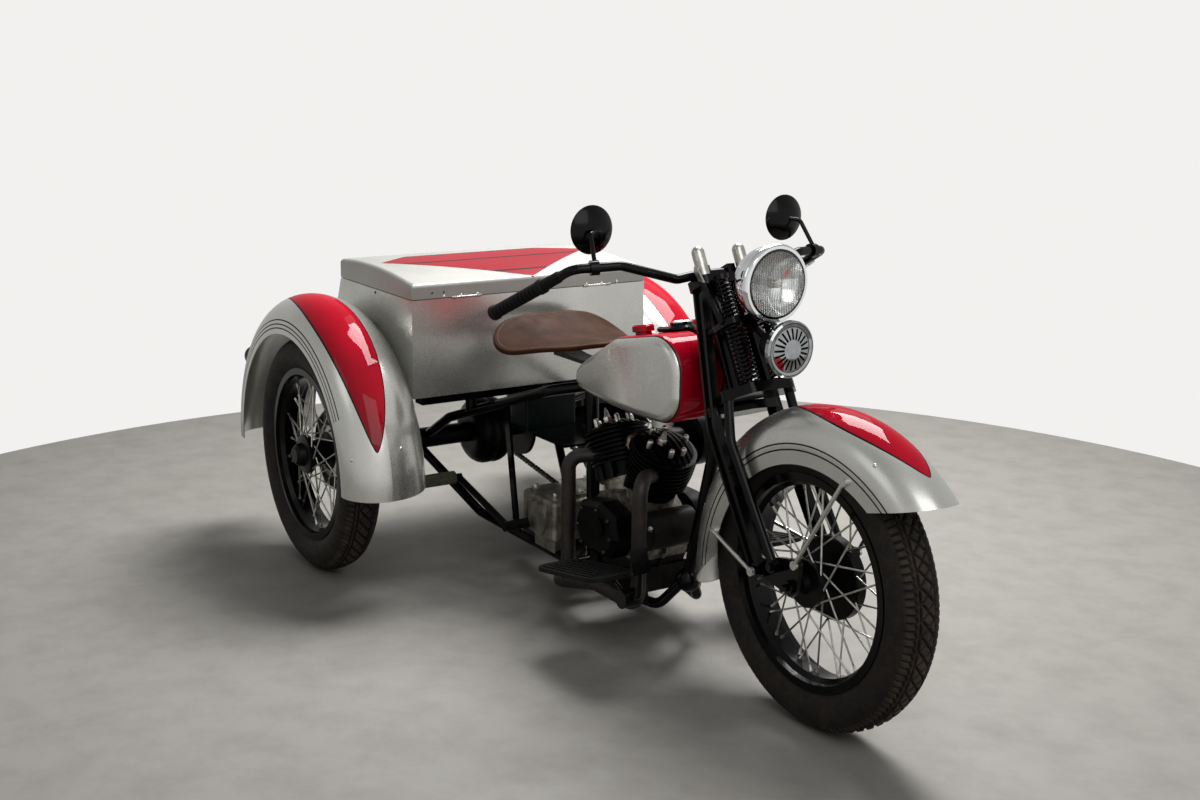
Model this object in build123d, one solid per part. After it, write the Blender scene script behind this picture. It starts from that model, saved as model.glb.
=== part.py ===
# Motorcycle trike: one steered front wheel, two rear wheels, and a lidded load box between wide fenders.
# X points forward, Y to the left and Z up. Stations run forward from the rear axle, heights up from the axles.

import os
from math import acos, asin, atan2, cos, degrees, hypot, pi, radians, sin, tan

from build123d import *

# Wheels
track = 1067.0
rim_flange_radius = 244.0
rim_flange_height = 18.0
rim_well_depth = 12.0
rim_half_width = 42.0
rim_wall = 3.0
tyre_height = 90.0
tyre_width = 112.0
tread_half_width = 40.0
tread_drop = 12.0
bead_clearance = 0.3
spoke_pairs = 10
spoke_radius = 2.2
spoke_advance = 2.2
spoke_head_offset = 4.0
spoke_rim_side = 7.0
hub_half = 62.0
hub_core_radius = 28.0
hub_flange_radius = 54.0
hub_flange_side = 38.0
hub_flange_half = 8.0
front_drum_radius = 95.0
rear_drum_radius = 112.0
rear_drum_width = 26.0
rear_hub_inner = 60.0
rear_hub_outer = 74.0
axle_radius = 8.0
axle_end_length = 24.0
spindle_radius = 16.0
spindle_depth = 30.0
bearing_clearance = 0.06

# Steering and fork
rake = 28.0
trail = 58.0
stem_radius = 16.0
head_radius = 26.0
head_length = 190.0
crown_drop = 8.0
crown_to_head = 30.0
head_to_clamp = 38.0
head_to_perch = 126.0
crown_to_spring_crown = 16.0
race_gap = 1.0
yoke_half = 11.0
perch_half = 7.0
leg_depth = 34.0
leg_width = 20.0
leg_web = 8.0
leg_flange = 7.0
leg_top_spread = 52.0
leg_knee_spread = 92.0
leg_knee_drop = 28.0
leg_bend = 120.0
spring_leg_radius = 11.0
spring_leg_bend = 90.0
spring_reach = 106.0
spring_spread = 45.0
upper_spring_radius = 18.0
upper_spring_length = 93.0
lower_spring_radius = 24.0
spring_wire = 4.5
spring_rod_radius = 7.0
strap_thick = 5.0
strap_width = 14.0
fork_cap_radius = 15.0
fork_cap_length = 73.0
rocker_inner = 75.0
rocker_plate = 11.5
rocker_length = 97.0
rocker_rise = 11.0
rocker_gap = 1.5
stud_radius = 9.0
bar_radius = 11.0
bar_rise = 26.0
bar_ahead = 34.0
bar_bend = 36.0
grip_radius = 16.0
grip_length = 135.0
grip_ridges = 9
grip_ridge_depth = 1.5
grip_clearance = 0.05

# Lamps, horn and mirrors
lamp_radius = 88.0
lamp_depth = 106.0
lamp_ahead = 100.0
lamp_rise = 90.0
lens_inset = 10.0
lens_dome = 15.0
horn_radius = 64.0
horn_depth = 72.0
horn_ahead = 157.0
horn_drop = 47.0
horn_slots = 20
horn_slot_width = 5.0
horn_slot_depth = 6.0
mirror_radius = 56.0
mirror_depth = 20.0
tail_lamp_radius = 30.0
tail_lamp_length = 44.0

# Fenders
front_fender_gap = 116.0
front_fender_ahead = 46.0
front_fender_drop = 54.0
front_fender_half_width = 80.0
front_fender_depth = 120.0
front_fender_first = 44.8
front_fender_last = 189.5
rear_fender_gap = 144.0
rear_fender_back = 35.0
rear_fender_drop = 34.0
rear_fender_overhang = 20.5
rear_fender_crest_in = 23.5
rear_fender_depth = 106.0
rear_fender_inner_drop = 86.0
rear_fender_last = 181.0
fender_wall = 2.5

# Load box
box_front = 290.0
box_half_width = 374.0
box_low = 194.0
box_high = 463.0
box_wall = 4.0
box_rear_low = -300.0
box_rear_high = -185.0
lid_gap = 2.0
lid_lip = 40.0
lid_crown_station = 65.0
lid_crown_rise = 62.0
lid_rear_rise = 54.0
lid_edge = 12.0
hinge_pin_radius = 1.8
hinge_knuckle_radius = 3.5
hinge_knuckle_length = 60.0
hinge_lug_length = 14.0
hinge_spread = 210.0
hinge_out = 1.0
hinge_gap = 1.0
lid_hole_radius = 3.0
lid_hole_spacing = 34.7
lid_hole_side = 295.6
lid_hole_rise = 15.0
member_height = 30.0
member_half = 22.0
member_half_length = 330.0
front_member_back = 58.0
support_post_radius = 16.0
support_spring_radius = 32.0
support_spring_side = 290.0
support_spring_wire = 9.0

# Frame tubes
tube_radius = 16.0
seat_tube_radius = 18.0
stay_radius = 14.0
rail_radius = 13.0
rail_spread = 78.0
rail_height = -219.0
rail_rear_spread = 240.0
stay_height = 252.0
stay_rear_spread = 205.0
seat_height = 278.0
seat_tube_back = 70.0
foot_height = -150.0
foot_room = 108.0
head_room = 68.5
brace_width = 24.0
brace_thick = 8.0
brace_ahead = 85.0

# Engine, gearbox and drive
crank_height = -84.0
case_radius = 115.0
case_half_width = 75.0
case_flange = 7.0
vee_half_angle = 25.0
barrel_base = 140.0
barrel_length = 95.0
barrel_radius = 52.0
cylinder_foot = 10.0
cylinder_gap = 22.24
head_height = 50.0
fin_radius = 82.0
fin_start = 40.0
fin_pitch = 12.0
fin_thickness = 4.5
fin_spacing = 3.0
rib_pitch = 18.0
rib_depth = 15.0
rib_groove = 8.0
valve_tube_radius = 14.0
valve_tube_side = 58.0
valve_tube_spread = 24.0
generator_radius = 48.0
generator_ahead = 165.0
timing_cover_depth = 62.0
gearbox_length = 147.0
gearbox_half_width = 105.0
gearbox_low = -180.0
gearbox_height = 114.0
gearbox_round = 12.0
pipe_radius = 19.0
pipe_side = 130.0
pipe_bend = 44.0
front_pipe_ahead = 195.0
rear_pipe_back = 135.0
pipe_clearance = 3.0
pipe_dip = 48.0
muffler_radius = 28.0
muffler_length = 285.0
muffler_gap = 14.0
kick_length = 275.0
kick_rise = 74.0
kick_pedal_length = 114.0
kick_rubber_radius = 19.0
kick_flute_depth = 2.5
chain_side = 120.0
chain_width = 12.0
chain_half_height = 6.0
chain_pitch = 16.0
front_sprocket = 46.0
rear_sprocket = 92.0
chain_clearance = 0.3
primary_gap = 14.0
primary_depth = 52.0

# Rear axle
axle_tube_radius = 30.0
differential_radius = 98.0
differential_half = 60.0
plate_thick = 8.0
drum_gap = 6.0

# Tank, saddle and fittings
tank_inner = 20.0
tank_outer = 130.0
tank_tail_side = 100.0
tank_front_side = 116.0
tank_round = 26.0
cap_radius = 27.0
cap_height = 24.0
cap_side = 66.0
panel_half_width = 34.0
panel_thick = 14.0
saddle_gap = 76.0
saddle_length = 304.0
saddle_half_width = 205.0
saddle_lobe_radius = 86.0
saddle_nose_radius = 45.0
saddle_rear_height = 414.0
saddle_dip_height = 366.0
saddle_nose_height = 374.0
saddle_thick = 40.0
saddle_round = 10.0
battery_low = 96.0
battery_height = 84.0
battery_half_width = 80.0
battery_depth = 92.0
board_ahead = 72.0
board_length = 285.0
board_inner = 194.0
board_outer = 322.0
board_height = -108.0
board_tilt = 10.0
board_thick = 10.0
board_ribs = 7

# Places that follow from the sizes
tyre_radius = rim_flange_radius + tyre_height
axle_height = tyre_radius
wheel_side = track / 2
crown_height = tyre_radius - crown_drop
head_low = crown_height + crown_to_head
head_high = head_low + head_length
clamp_height = head_high + head_to_clamp
perch_height = head_low + head_to_perch
spring_crown_height = crown_height + crown_to_spring_crown
saddle_rear = box_front + saddle_gap
saddle_nose = saddle_rear + saddle_length
seat_station = saddle_nose - seat_tube_back
vee_reach = (
    sin(radians(vee_half_angle)) * (barrel_base + barrel_length + head_height)
    + cos(radians(vee_half_angle)) * fin_radius
)
crank_station = seat_station + seat_tube_radius + cylinder_gap + vee_reach
foot_station = crank_station + case_radius + foot_room

# Tank outline, drawn round four circles: station ahead of the seat tube, height, radius
tank_circles = {
    "tail": (112, 306, 36),
    "shoulder": (330, 356, 92),
    "brow": (468, 391, 85),
    "chin": (479, 340, 74),
}
brow_station, brow_height, brow_radius = tank_circles["brow"]
tank_front = seat_station + brow_station + brow_radius
wheelbase = tank_front + head_room + (axle_height + brow_height) * tan(radians(rake)) - trail
front_fender_radius = tyre_radius + front_fender_gap
rear_fender_radius = tyre_radius + rear_fender_gap
front_overhang = front_fender_ahead + front_fender_radius * cos(radians(front_fender_first))
rear_overhang = rear_fender_back + rear_fender_radius
overall_length = rear_overhang + wheelbase + front_overhang
rear_axle_x = rear_overhang - overall_length / 2
front_axle_x = rear_axle_x + wheelbase
fore = Vector(cos(radians(rake)), 0, sin(radians(rake)))
up = Vector(-sin(radians(rake)), 0, cos(radians(rake)))
ahead = Vector(1, 0, 0)
left = Vector(0, 1, 0)
above = Vector(0, 0, 1)


def at(station, side, height):
    return Vector(rear_axle_x + station, side, axle_height + height)


def front(reach, side, height):
    return Vector(front_axle_x + reach, side, axle_height + height)


def steered(height, reach, side, rise=0.0):
    # A place beside the steering axis, from the axis at that height
    on_axis = front(trail - (axle_height + height) * tan(radians(rake)), 0, height)
    return on_axis + fore * reach + up * rise + left * side


def rod(start, end, radius):
    return Solid.make_cylinder(radius, (end - start).length, Plane(start, z_dir=end - start))


def across(point, inner, outer, radius):
    return rod(Vector(point.X, inner, point.Z), Vector(point.X, outer, point.Z), radius)


def flat_bar(start, end, width, thick):
    plane = Plane(start, x_dir=ahead, z_dir=end - start)
    return extrude(plane * Rectangle(width, thick), (end - start).length, dir=end - start)


def block(corner, other):
    size = other - corner
    return Pos(*((corner + other) * 0.5)) * Box(abs(size.X), abs(size.Y), abs(size.Z))


def bent(points, radius):
    # Straight runs joined by tangent arcs
    edges, last = [], points[0]
    for before, corner, after in zip(points, points[1:], points[2:]):
        back, on = (before - corner).normalized(), (after - corner).normalized()
        half = radians(back.get_angle(on) / 2)
        start, end = corner + back * (radius / tan(half)), corner + on * (radius / tan(half))
        middle = corner + (back + on).normalized() * (radius / sin(half) - radius)
        edges += [Line(last, start), ThreePointArc(start, middle, end)]
        last = end
    edges.append(Line(last, points[-1]))
    return Wire(edges)


def pipe(points, bend, radius):
    path = bent(points, bend)
    return sweep(Plane(path @ 0, z_dir=path % 0) * Circle(radius), path=path)


def face_of(start, *steps):
    # Each step is a corner, or a pair: a point that an arc passes and the corner where it ends
    edges, last = [], start
    for step in (*steps, start):
        curved = isinstance(step[0], tuple)
        end = step[1] if curved else step
        edges.append(ThreePointArc(last, step[0], end) if curved else Line(last, end))
        last = end
    return make_face(edges)


def turned(profile, centre, axis=left, radial=ahead):
    # A profile of radius and distance along the axis, spun round it
    plane = Plane(centre, x_dir=radial, z_dir=radial.cross(axis))
    return revolve(plane * face_of(*profile), Axis(centre, axis), 360)


def dome(radius, base, height):
    # The step of a profile that closes a round top over its axis
    ball = (radius**2 + height**2) / (2 * height)
    half_turn = asin(min(1.0, radius / ball)) / 2
    return (ball * sin(half_turn), base + height - ball + ball * cos(half_turn)), (0, base + height)


def hull_face(circles):
    # The tight loop round circles, each across, up and radius, listed counter-clockwise
    turns = []
    for (u, v, radius), (u_next, v_next, radius_next) in zip(circles, circles[1:] + circles[:1]):
        gap = hypot(u_next - u, v_next - v)
        turns.append(atan2(v_next - v, u_next - u) - acos((radius - radius_next) / gap))
    rims = []
    for (u, v, radius), first, last in zip(circles, turns[-1:] + turns[:-1], turns):
        middle = first + (last - first) % (2 * pi) / 2
        rims.append([(u + radius * cos(turn), v + radius * sin(turn)) for turn in (first, middle, last)])
    edges = [ThreePointArc(*rim) for rim in rims]
    edges += [Line(rim[-1], following[0]) for rim, following in zip(rims, rims[1:] + rims[:1])]
    return make_face(edges)


def slab(face, inner, outer):
    # A face drawn in X and Z, standing between two distances to the side
    placed = Plane((0, inner, 0), x_dir=(1, 0, 0), z_dir=(0, -1, 0)) * face
    return extrude(placed, abs(outer - inner), dir=(0, 1 if outer > inner else -1, 0))


def side_plate(corners, inner, outer):
    return slab(make_face(Polyline(*[(p.X, p.Z) for p in corners], close=True)), inner, outer)


def yoke(height, below, rise, bosses):
    # A forged plate square to the steering axis, drawn round bosses of reach, side and radius
    plane = Plane(steered(height, 0, 0, below), x_dir=fore, z_dir=up)
    return extrude(plane * hull_face(bosses), rise - below, dir=up)


def both(shape):
    return [shape, mirror(shape, about=Plane.XZ)]


def joined(shapes):
    first, *rest = [solid for shape in shapes for solid in shape.solids()]
    return first.fuse(*rest)


def largest(shape):
    return max(shape.solids(), key=lambda solid: solid.volume)


def save(node, *shapes):
    solids = [solid for shape in shapes for solid in shape.solids()]
    export_step(solids[0] if len(solids) == 1 else Compound(solids), f"parts/{node}.step")


def coil(start, end, radius, wire, bore):
    # A column of closed rings along a straight run, with a bore for the rod inside it
    run = (end - start).length
    turns = round(run / (2.4 * wire))
    pitch = run / turns
    profile = [(bore, 0), (radius - wire, 0)]
    for turn in range(turns):
        profile += [((radius, (turn + 0.5) * pitch), (radius - wire, (turn + 1) * pitch))]
    profile.append((bore, run))
    return turned(profile, start, (end - start).normalized(), left)


def swept_ring(face, centre, first, last):
    ring_axis = Axis(centre, (0, -1, 0))
    placed = Plane(centre, x_dir=(1, 0, 0), z_dir=(0, 0, 1)) * face
    return revolve(placed.rotate(ring_axis, first), ring_axis, last - first)


def on_ring(centre, radius, angle, side=0.0):
    return centre + Vector(radius * cos(radians(angle)), side, radius * sin(radians(angle)))


os.makedirs("parts", exist_ok=True)

# Wheels: tyre with a round tread, rim with a dropped well, and hub with its laced spokes
rim_bed_radius = rim_flange_radius - rim_flange_height
rim_well_radius = rim_bed_radius - rim_well_depth
tyre_half = tyre_width / 2
bead_half = rim_half_width - rim_wall - bead_clearance
bead_radius = rim_bed_radius + rim_wall + bead_clearance
flange_top = rim_flange_radius + bead_clearance + 2
widest = flange_top + tyre_height * 0.48
tread_edge = tyre_radius - tread_drop
tyre_profile = [
    (bead_radius, -bead_half), (flange_top, -bead_half), ((widest, -tyre_half), (tread_edge, -tread_half_width)),
    ((tyre_radius, 0), (tread_edge, tread_half_width)), ((widest, tyre_half), (flange_top, bead_half)),
    (bead_radius, bead_half),
]
well_edge, well_floor = rim_half_width - rim_well_depth, rim_half_width - 1.9 * rim_well_depth
rim_outside = [
    (rim_flange_radius, rim_half_width), (rim_bed_radius, rim_half_width), (rim_bed_radius - 2, well_edge),
    (rim_well_radius, well_floor),
]
rim_inside = [
    (rim_flange_radius, rim_half_width - rim_wall), (rim_bed_radius + rim_wall, rim_half_width - rim_wall),
    (rim_bed_radius + rim_wall, well_edge), (rim_well_radius + rim_wall, well_floor),
]
rim_profile = rim_outside + [(radius, -side) for radius, side in reversed(rim_outside)]
rim_profile += [(radius, -side) for radius, side in rim_inside] + rim_inside[::-1]
spoke_end = rim_well_radius - spoke_radius * 0.6 - bead_clearance


def laced_hub(centre, profile):
    spokes = []
    step = 360 / spoke_pairs
    start_radius = hub_flange_radius - 2 * spoke_radius
    for index in range(spoke_pairs):
        for side in (-1, 1):
            for lean in (-1, 1):
                base = radians(index * step + (step / 2 if side > 0 else 0) + lean * step / 4)
                tip = base + lean * radians(step * spoke_advance)
                inset = spoke_head_offset * lean
                start = Vector(start_radius * cos(base), side * (hub_flange_side + inset), start_radius * sin(base))
                end = Vector(spoke_end * cos(tip), side * (spoke_rim_side + inset), spoke_end * sin(tip))
                spokes.append(rod(centre + start, centre + end, spoke_radius))
    return joined([turned(profile, centre), *spokes])


bore = axle_radius + bearing_clearance
flange_in, flange_out = hub_flange_side - hub_flange_half, hub_flange_side + hub_flange_half
barrel_end = hub_half - 14
front_hub = [
    (bore, -hub_half), (20, -hub_half), (24, -barrel_end), (hub_flange_radius, -flange_out),
    (hub_flange_radius, -flange_in), (hub_core_radius, -flange_in + 4), (hub_core_radius, flange_in - 12),
    (front_drum_radius - 3, flange_in - 8), (front_drum_radius, flange_in - 4), (front_drum_radius, barrel_end),
    (front_drum_radius - 5, barrel_end + 4), (22, hub_half - 6), (20, hub_half), (bore, hub_half),
]
front_centre = front(0, 0, 0)
save("front_tyre", turned(tyre_profile, front_centre))
save("front_rim", turned(rim_profile, front_centre))
save("front_hub", laced_hub(front_centre, front_hub))

rear_bore = spindle_radius + bearing_clearance
drum_end = -rear_hub_inner + rear_drum_width
rear_hub = [
    (rear_bore, -rear_hub_inner), (rear_drum_radius, -rear_hub_inner), (rear_drum_radius, drum_end),
    (hub_flange_radius + 2, drum_end + 6), (hub_core_radius + 8, drum_end + 14),
    (hub_core_radius + 8, flange_in - 4), (hub_flange_radius, flange_in), (hub_flange_radius, flange_out),
    (hub_core_radius + 6, flange_out + 4), (hub_core_radius + 2, rear_hub_outer - 8),
    (hub_core_radius - 6, rear_hub_outer), (0, rear_hub_outer), (0, spindle_depth), (rear_bore, spindle_depth),
]
for name, side in (("left", 1), ("right", -1)):
    centre = at(0, side * wheel_side, 0)
    save(f"rear_tyre_{name}", turned(tyre_profile, centre))
    save(f"rear_rim_{name}", turned(rim_profile, centre))
    save(f"rear_hub_{name}", laced_hub(centre, [(radius, side * y) for radius, y in rear_hub]))

# Rigid fork: stem, lower crown, top clamp, spring perch and two forged legs of I section
leg_inner = rocker_inner + rocker_plate + rocker_gap
leg_outer = leg_inner + leg_width
leg_middle = leg_inner + leg_width / 2
leg_top = steered(clamp_height, 30, leg_top_spread)
leg_knee = steered(crown_height - leg_knee_drop, -3, leg_knee_spread)
leg_foot = front(-rocker_length, leg_middle, rocker_rise)
leg_path = bent([leg_top, leg_knee, leg_foot], leg_bend)
leg_half, web_half, deep = leg_width / 2, leg_web / 2, leg_depth / 2
inside = deep - leg_flange
leg_section = [(leg_half, deep), (leg_half, inside), (web_half, inside), (web_half, -inside), (leg_half, -inside),
               (leg_half, -deep)]
leg_section += [(-x, y) for x, y in reversed(leg_section)]
start_plane = Plane(leg_path @ 0, x_dir=(0, 1, 0), z_dir=leg_path % 0)
fork_leg = sweep(start_plane * make_face(Polyline(*leg_section, close=True)), path=leg_path)
stud_bore = stud_radius + bearing_clearance
leg_eye = across(leg_foot, leg_inner, leg_outer, leg_depth / 2)
fork_leg = joined([fork_leg, leg_eye]) - across(leg_foot, leg_inner - 5, leg_outer + 5, stud_bore)
lower_race = rod(steered(crown_height, 0, 0), steered(head_low, 0, 0, -race_gap), head_radius - 2)
upper_race = rod(steered(head_high, 0, 0, race_gap), steered(clamp_height, 0, 0), head_radius - 4)
stem = rod(steered(crown_height, 0, 0), steered(clamp_height, 0, 0), stem_radius)
strap_side = spring_spread + lower_spring_radius + 5
seat_reach = spring_reach - 42
crown = yoke(crown_height, -yoke_half, yoke_half, [(0, -78, 20), (0, 0, 32), (0, 78, 20), (0, 0, 32)])
clamp_bosses = [(0, 0, 32), (30, -54, 24), (seat_reach, -58, 20), (seat_reach, 58, 20), (30, 54, 24)]
clamp = yoke(clamp_height, -yoke_half, yoke_half, clamp_bosses)
boss_radius = strap_side - spring_spread
perch_bosses = [(56, -58, 10), (spring_reach, -spring_spread, boss_radius), (spring_reach, spring_spread, boss_radius),
                (56, 58, 10)]
perch = yoke(perch_height, -perch_half, perch_half, perch_bosses)
perch_arms = both(rod(steered(perch_height, 20, 66), steered(perch_height, 62, 58), 9))
rigid_fork = joined([stem, lower_race, upper_race, crown, clamp, perch, *perch_arms, *both(fork_leg)])
for side in (-spring_spread, spring_spread):
    hole_low = steered(perch_height, spring_reach, side, -2 * perch_half)
    hole_high = steered(perch_height, spring_reach, side, 2 * perch_half)
    rigid_fork = rigid_fork - rod(hole_low, hole_high, spring_rod_radius + 1)
save("fork_rigid", rigid_fork)

# Sprung fork: crown, two rods through the springs, and two legs down to the rockers
spring_leg_foot = front(-0.45 * rocker_length, leg_middle, rocker_rise + 25)
spring_leg_knee = front(-2.15 * rocker_length, leg_middle + 1, spring_crown_height - 63)
spring_leg_top = steered(spring_crown_height, 70, 86)
crown_half = 12.0
rod_top = perch_half + upper_spring_length
crown_bosses = [(70, -86, 16), (spring_reach, -spring_spread, lower_spring_radius),
                (spring_reach, spring_spread, lower_spring_radius), (70, 86, 16)]
sprung = [yoke(spring_crown_height, -crown_half, crown_half, crown_bosses)]
for side in (-spring_spread, spring_spread):
    low = steered(spring_crown_height, spring_reach, side)
    high = steered(perch_height, spring_reach, side, rod_top)
    sprung += [rod(low, high, spring_rod_radius), rod(high, high + up * 12, upper_spring_radius)]
sprung_leg = pipe([spring_leg_top, spring_leg_knee, spring_leg_foot], spring_leg_bend, spring_leg_radius)
sprung_eye = across(spring_leg_foot, leg_inner, leg_outer, 15)
sprung += both(joined([sprung_leg, sprung_eye]) - across(spring_leg_foot, leg_inner - 5, leg_outer + 5, stud_bore))
save("fork_sprung", joined(sprung))

coils = []
for side in (-spring_spread, spring_spread):
    perch_top = steered(perch_height, spring_reach, side, perch_half)
    perch_low = steered(perch_height, spring_reach, side, -perch_half)
    rod_end = steered(perch_height, spring_reach, side, rod_top)
    crown_top = steered(spring_crown_height, spring_reach, side, crown_half)
    coils.append(coil(perch_top, rod_end, upper_spring_radius, spring_wire, spring_rod_radius))
    coils.append(coil(crown_top, perch_low, lower_spring_radius, spring_wire, spring_rod_radius))
save("fork_springs", *coils)

# Rockers with the front axle
axle = front(0, 0, 0)
stay_lug = front(16, 0, 54)
rockers = []
for side in (-1, 1):
    inner, outer = side * rocker_inner, side * (rocker_inner + rocker_plate)
    eyes = ((leg_foot, 17), (axle, 22), (stay_lug, 12), (spring_leg_foot, 17))
    rockers.append(slab(hull_face([(place.X, place.Z, radius) for place, radius in eyes]), inner, outer))
    for foot in (leg_foot, spring_leg_foot):
        rockers.append(across(foot, inner, side * (leg_outer + 6), stud_radius))
    rockers.append(across(axle, side * (hub_half + 1), inner, 13))
    rockers.append(across(axle, outer, outer + side * 10, 15))
axle_end = rocker_inner + rocker_plate + axle_end_length
rockers.append(across(axle, -axle_end, axle_end, axle_radius))
rocker_set = joined(rockers)
save("front_axle_and_rockers", rocker_set)

# Bright caps on the top clamp, with a flat strap from each down to the end of the spring perch
caps = []
cap_tip = fork_cap_length - fork_cap_radius
cap_profile = [(0, 0), (fork_cap_radius, 0), (fork_cap_radius, cap_tip), dome(fork_cap_radius, cap_tip, fork_cap_radius)]
for side in (-1, 1):
    cap_foot = steered(clamp_height, seat_reach, side * 58, yoke_half)
    strap_top = steered(clamp_height, seat_reach, side * (strap_side + strap_thick / 2), yoke_half + 20)
    strap_low = steered(perch_height, spring_reach, side * (strap_side + strap_thick / 2))
    bridge = rod(cap_foot + up * 20, strap_top, 7)
    strap = flat_bar(strap_top, strap_low, strap_width, strap_thick)
    caps.append(joined([turned(cap_profile, cap_foot, up, left), bridge, strap]) - rigid_fork)
save("fork_caps", *[largest(cap) for cap in caps])

# Handlebar bends on the right: ahead of the middle, side, above the middle
bar_bends = [(-48, -362, 27), (-12, -255, 33), (-2, -110, -7), (0, -50, 0)]
bar_tip = (-325, 405, -108)
bar_middle = steered(clamp_height, bar_ahead, 0, bar_rise)
bar_right = [bar_middle + Vector(*bend) for bend in bar_bends]
bar_left = [bar_middle + Vector(x, -y, z) for x, y, z in reversed(bar_bends)]
bar_end = bar_middle + Vector(*bar_tip)
bar_path = [Vector(bar_end.X, -bar_end.Y, bar_end.Z), *bar_right, *bar_left, bar_end]
handlebar = [pipe(bar_path, bar_bend, bar_radius)]
for side in (-36, 36):
    clamp_place = steered(clamp_height, bar_ahead, side, (yoke_half + bar_rise + bar_radius + 5) / 2)
    clamp_size = Box(3 * bar_radius, 2 * bar_radius, bar_rise + bar_radius + 5 - yoke_half)
    handlebar.append(Plane(clamp_place, x_dir=fore, z_dir=up).location * clamp_size)
save("handlebar", joined(handlebar))

grip_axis = (bar_left[-1] - bar_end).normalized()
grip_side = grip_axis.cross(above).normalized()
valley = grip_radius - grip_ridge_depth
ridge_pitch = grip_length / grip_ridges
grip_profile = [(0, -8), (grip_radius - 4, -8), (grip_radius, -4)]
for index in range(grip_ridges):
    base = index * ridge_pitch
    grip_profile += [(grip_radius, base + ridge_pitch * 0.6), (valley, base + ridge_pitch * 0.7),
                     (valley, base + ridge_pitch * 0.9), (grip_radius, base + ridge_pitch)]
grip_bore = bar_radius + grip_clearance
grip_profile += [(grip_bore, grip_length), (grip_bore, 0), (0, 0)]
save("grips", *both(turned(grip_profile, bar_end, grip_axis, grip_side)))

lever_foot = bar_end + grip_axis * (grip_length + 60)
lever_out = (grip_side.cross(grip_axis) * 0.25 - grip_side).normalized()
lever_pivot = lever_foot + lever_out * (bar_radius + 23)
lever_tip = bar_end + lever_out * 62 + grip_axis * 10
lever_bow = lever_pivot - grip_axis * 20 + lever_out * 20
clip = rod(lever_foot - grip_axis * 12, lever_foot + grip_axis * 12, bar_radius + 6)
clip = clip - rod(lever_foot - grip_axis * 20, lever_foot + grip_axis * 20, bar_radius)
save("brake_lever", joined([
    clip, rod(lever_foot + lever_out * (bar_radius + 4), lever_pivot, 7),
    pipe([lever_pivot + lever_out * 4, lever_bow, lever_tip], 18, 5.5), Pos(*lever_tip) * Sphere(8),
]))

mirror_disc = bar_middle + Vector(-102, 278, 105)
mirror_profile = [(0, -4), (mirror_radius - 3, -4), (mirror_radius, 0), dome(mirror_radius, 0, mirror_depth)]
bar_run = bar_left[-2] - bar_left[-1]
clip_place = bar_left[-1] + bar_run * 0.45
along = bar_run.normalized()
clip = rod(clip_place - along * 10, clip_place + along * 10, bar_radius + 6)
clip = clip - rod(clip_place - along * 20, clip_place + along * 20, bar_radius)
mirror_stem = pipe([
    clip_place + above * (bar_radius + 4), mirror_disc + Vector(34, 24, -4), mirror_disc + ahead * (mirror_depth - 4),
], 14, 5)
save("mirrors", *both(joined([clip, mirror_stem, turned(mirror_profile, mirror_disc, ahead, left)])))

# Headlamp with a bowl and a rim, its domed lens, and the horn with a slotted face
perch_seat = steered(perch_height, spring_reach, 0, perch_half)
lamp_face = perch_seat + Vector(lamp_ahead, 0, lamp_rise)
bowl_radius, lens_radius = lamp_radius - 6, lamp_radius - lens_inset
lamp = turned([
    (0, 6), (lens_radius, 6), (lens_radius, 0), (lamp_radius - 4, 0), ((lamp_radius + 1, 10), (lamp_radius, 18)),
    (bowl_radius, 20), dome(bowl_radius, 20, lamp_depth - 20),
], lamp_face, -ahead, left)
lamp_post = rod(perch_seat, lamp_face + Vector(-0.68 * lamp_depth, 0, -0.57 * lamp_radius), 12)
save("headlamp_shell", largest(joined([lamp, lamp_post]) - rigid_fork))
glass = lens_radius - bead_clearance
lens_profile = [(0, -6), (glass, -6), (glass, 0), dome(glass, 0, lens_dome)]
save("headlamp_lens", turned(lens_profile, lamp_face, ahead, left))
horn_face = perch_seat + Vector(horn_ahead, 0, -horn_drop)
horn = turned([
    (0, -horn_depth), (horn_radius * 0.53, -horn_depth), (horn_radius * 0.6, -horn_depth * 0.6),
    ((horn_radius * 0.8, -horn_depth * 0.36), (horn_radius - 3, -16)), (horn_radius, -14), (horn_radius, -4),
    (horn_radius - 5, 0), (horn_radius * 0.78, -3), ((horn_radius * 0.5, 2), (horn_radius * 0.3, 4)), (0, 5),
], horn_face, ahead, left)
slot_length, slot_middle = horn_radius * 0.38, horn_radius * 0.55
slots = [
    Rot(0, 0, index * 360 / horn_slots) * Pos(slot_middle, 0) * Rectangle(slot_length, horn_slot_width)
    for index in range(horn_slots)
]
slot_plane = Plane(horn_face + ahead * horn_slot_depth, x_dir=left, z_dir=ahead)
horn = horn - extrude(slot_plane * (Sketch() + slots), 2 * horn_slot_depth, dir=(-1, 0, 0))
horn_post = rod(perch_seat - up * perch_half, horn_face - ahead * (horn_depth - 10), 9) - rigid_fork
save("horn", joined([horn, *horn_post.solids()]))

# Front fender: a deep U section swept round the wheel, cut level in front and slanted behind
fender_centre = front(front_fender_ahead, 0, -front_fender_drop)
front_fender_lip = front_fender_radius - front_fender_depth


def u_section(half, low):
    shoulder = front_fender_radius - front_fender_half_width
    return face_of((low, -half), (shoulder, -half), ((shoulder + half, 0), (shoulder, half)), (low, half))


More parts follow.
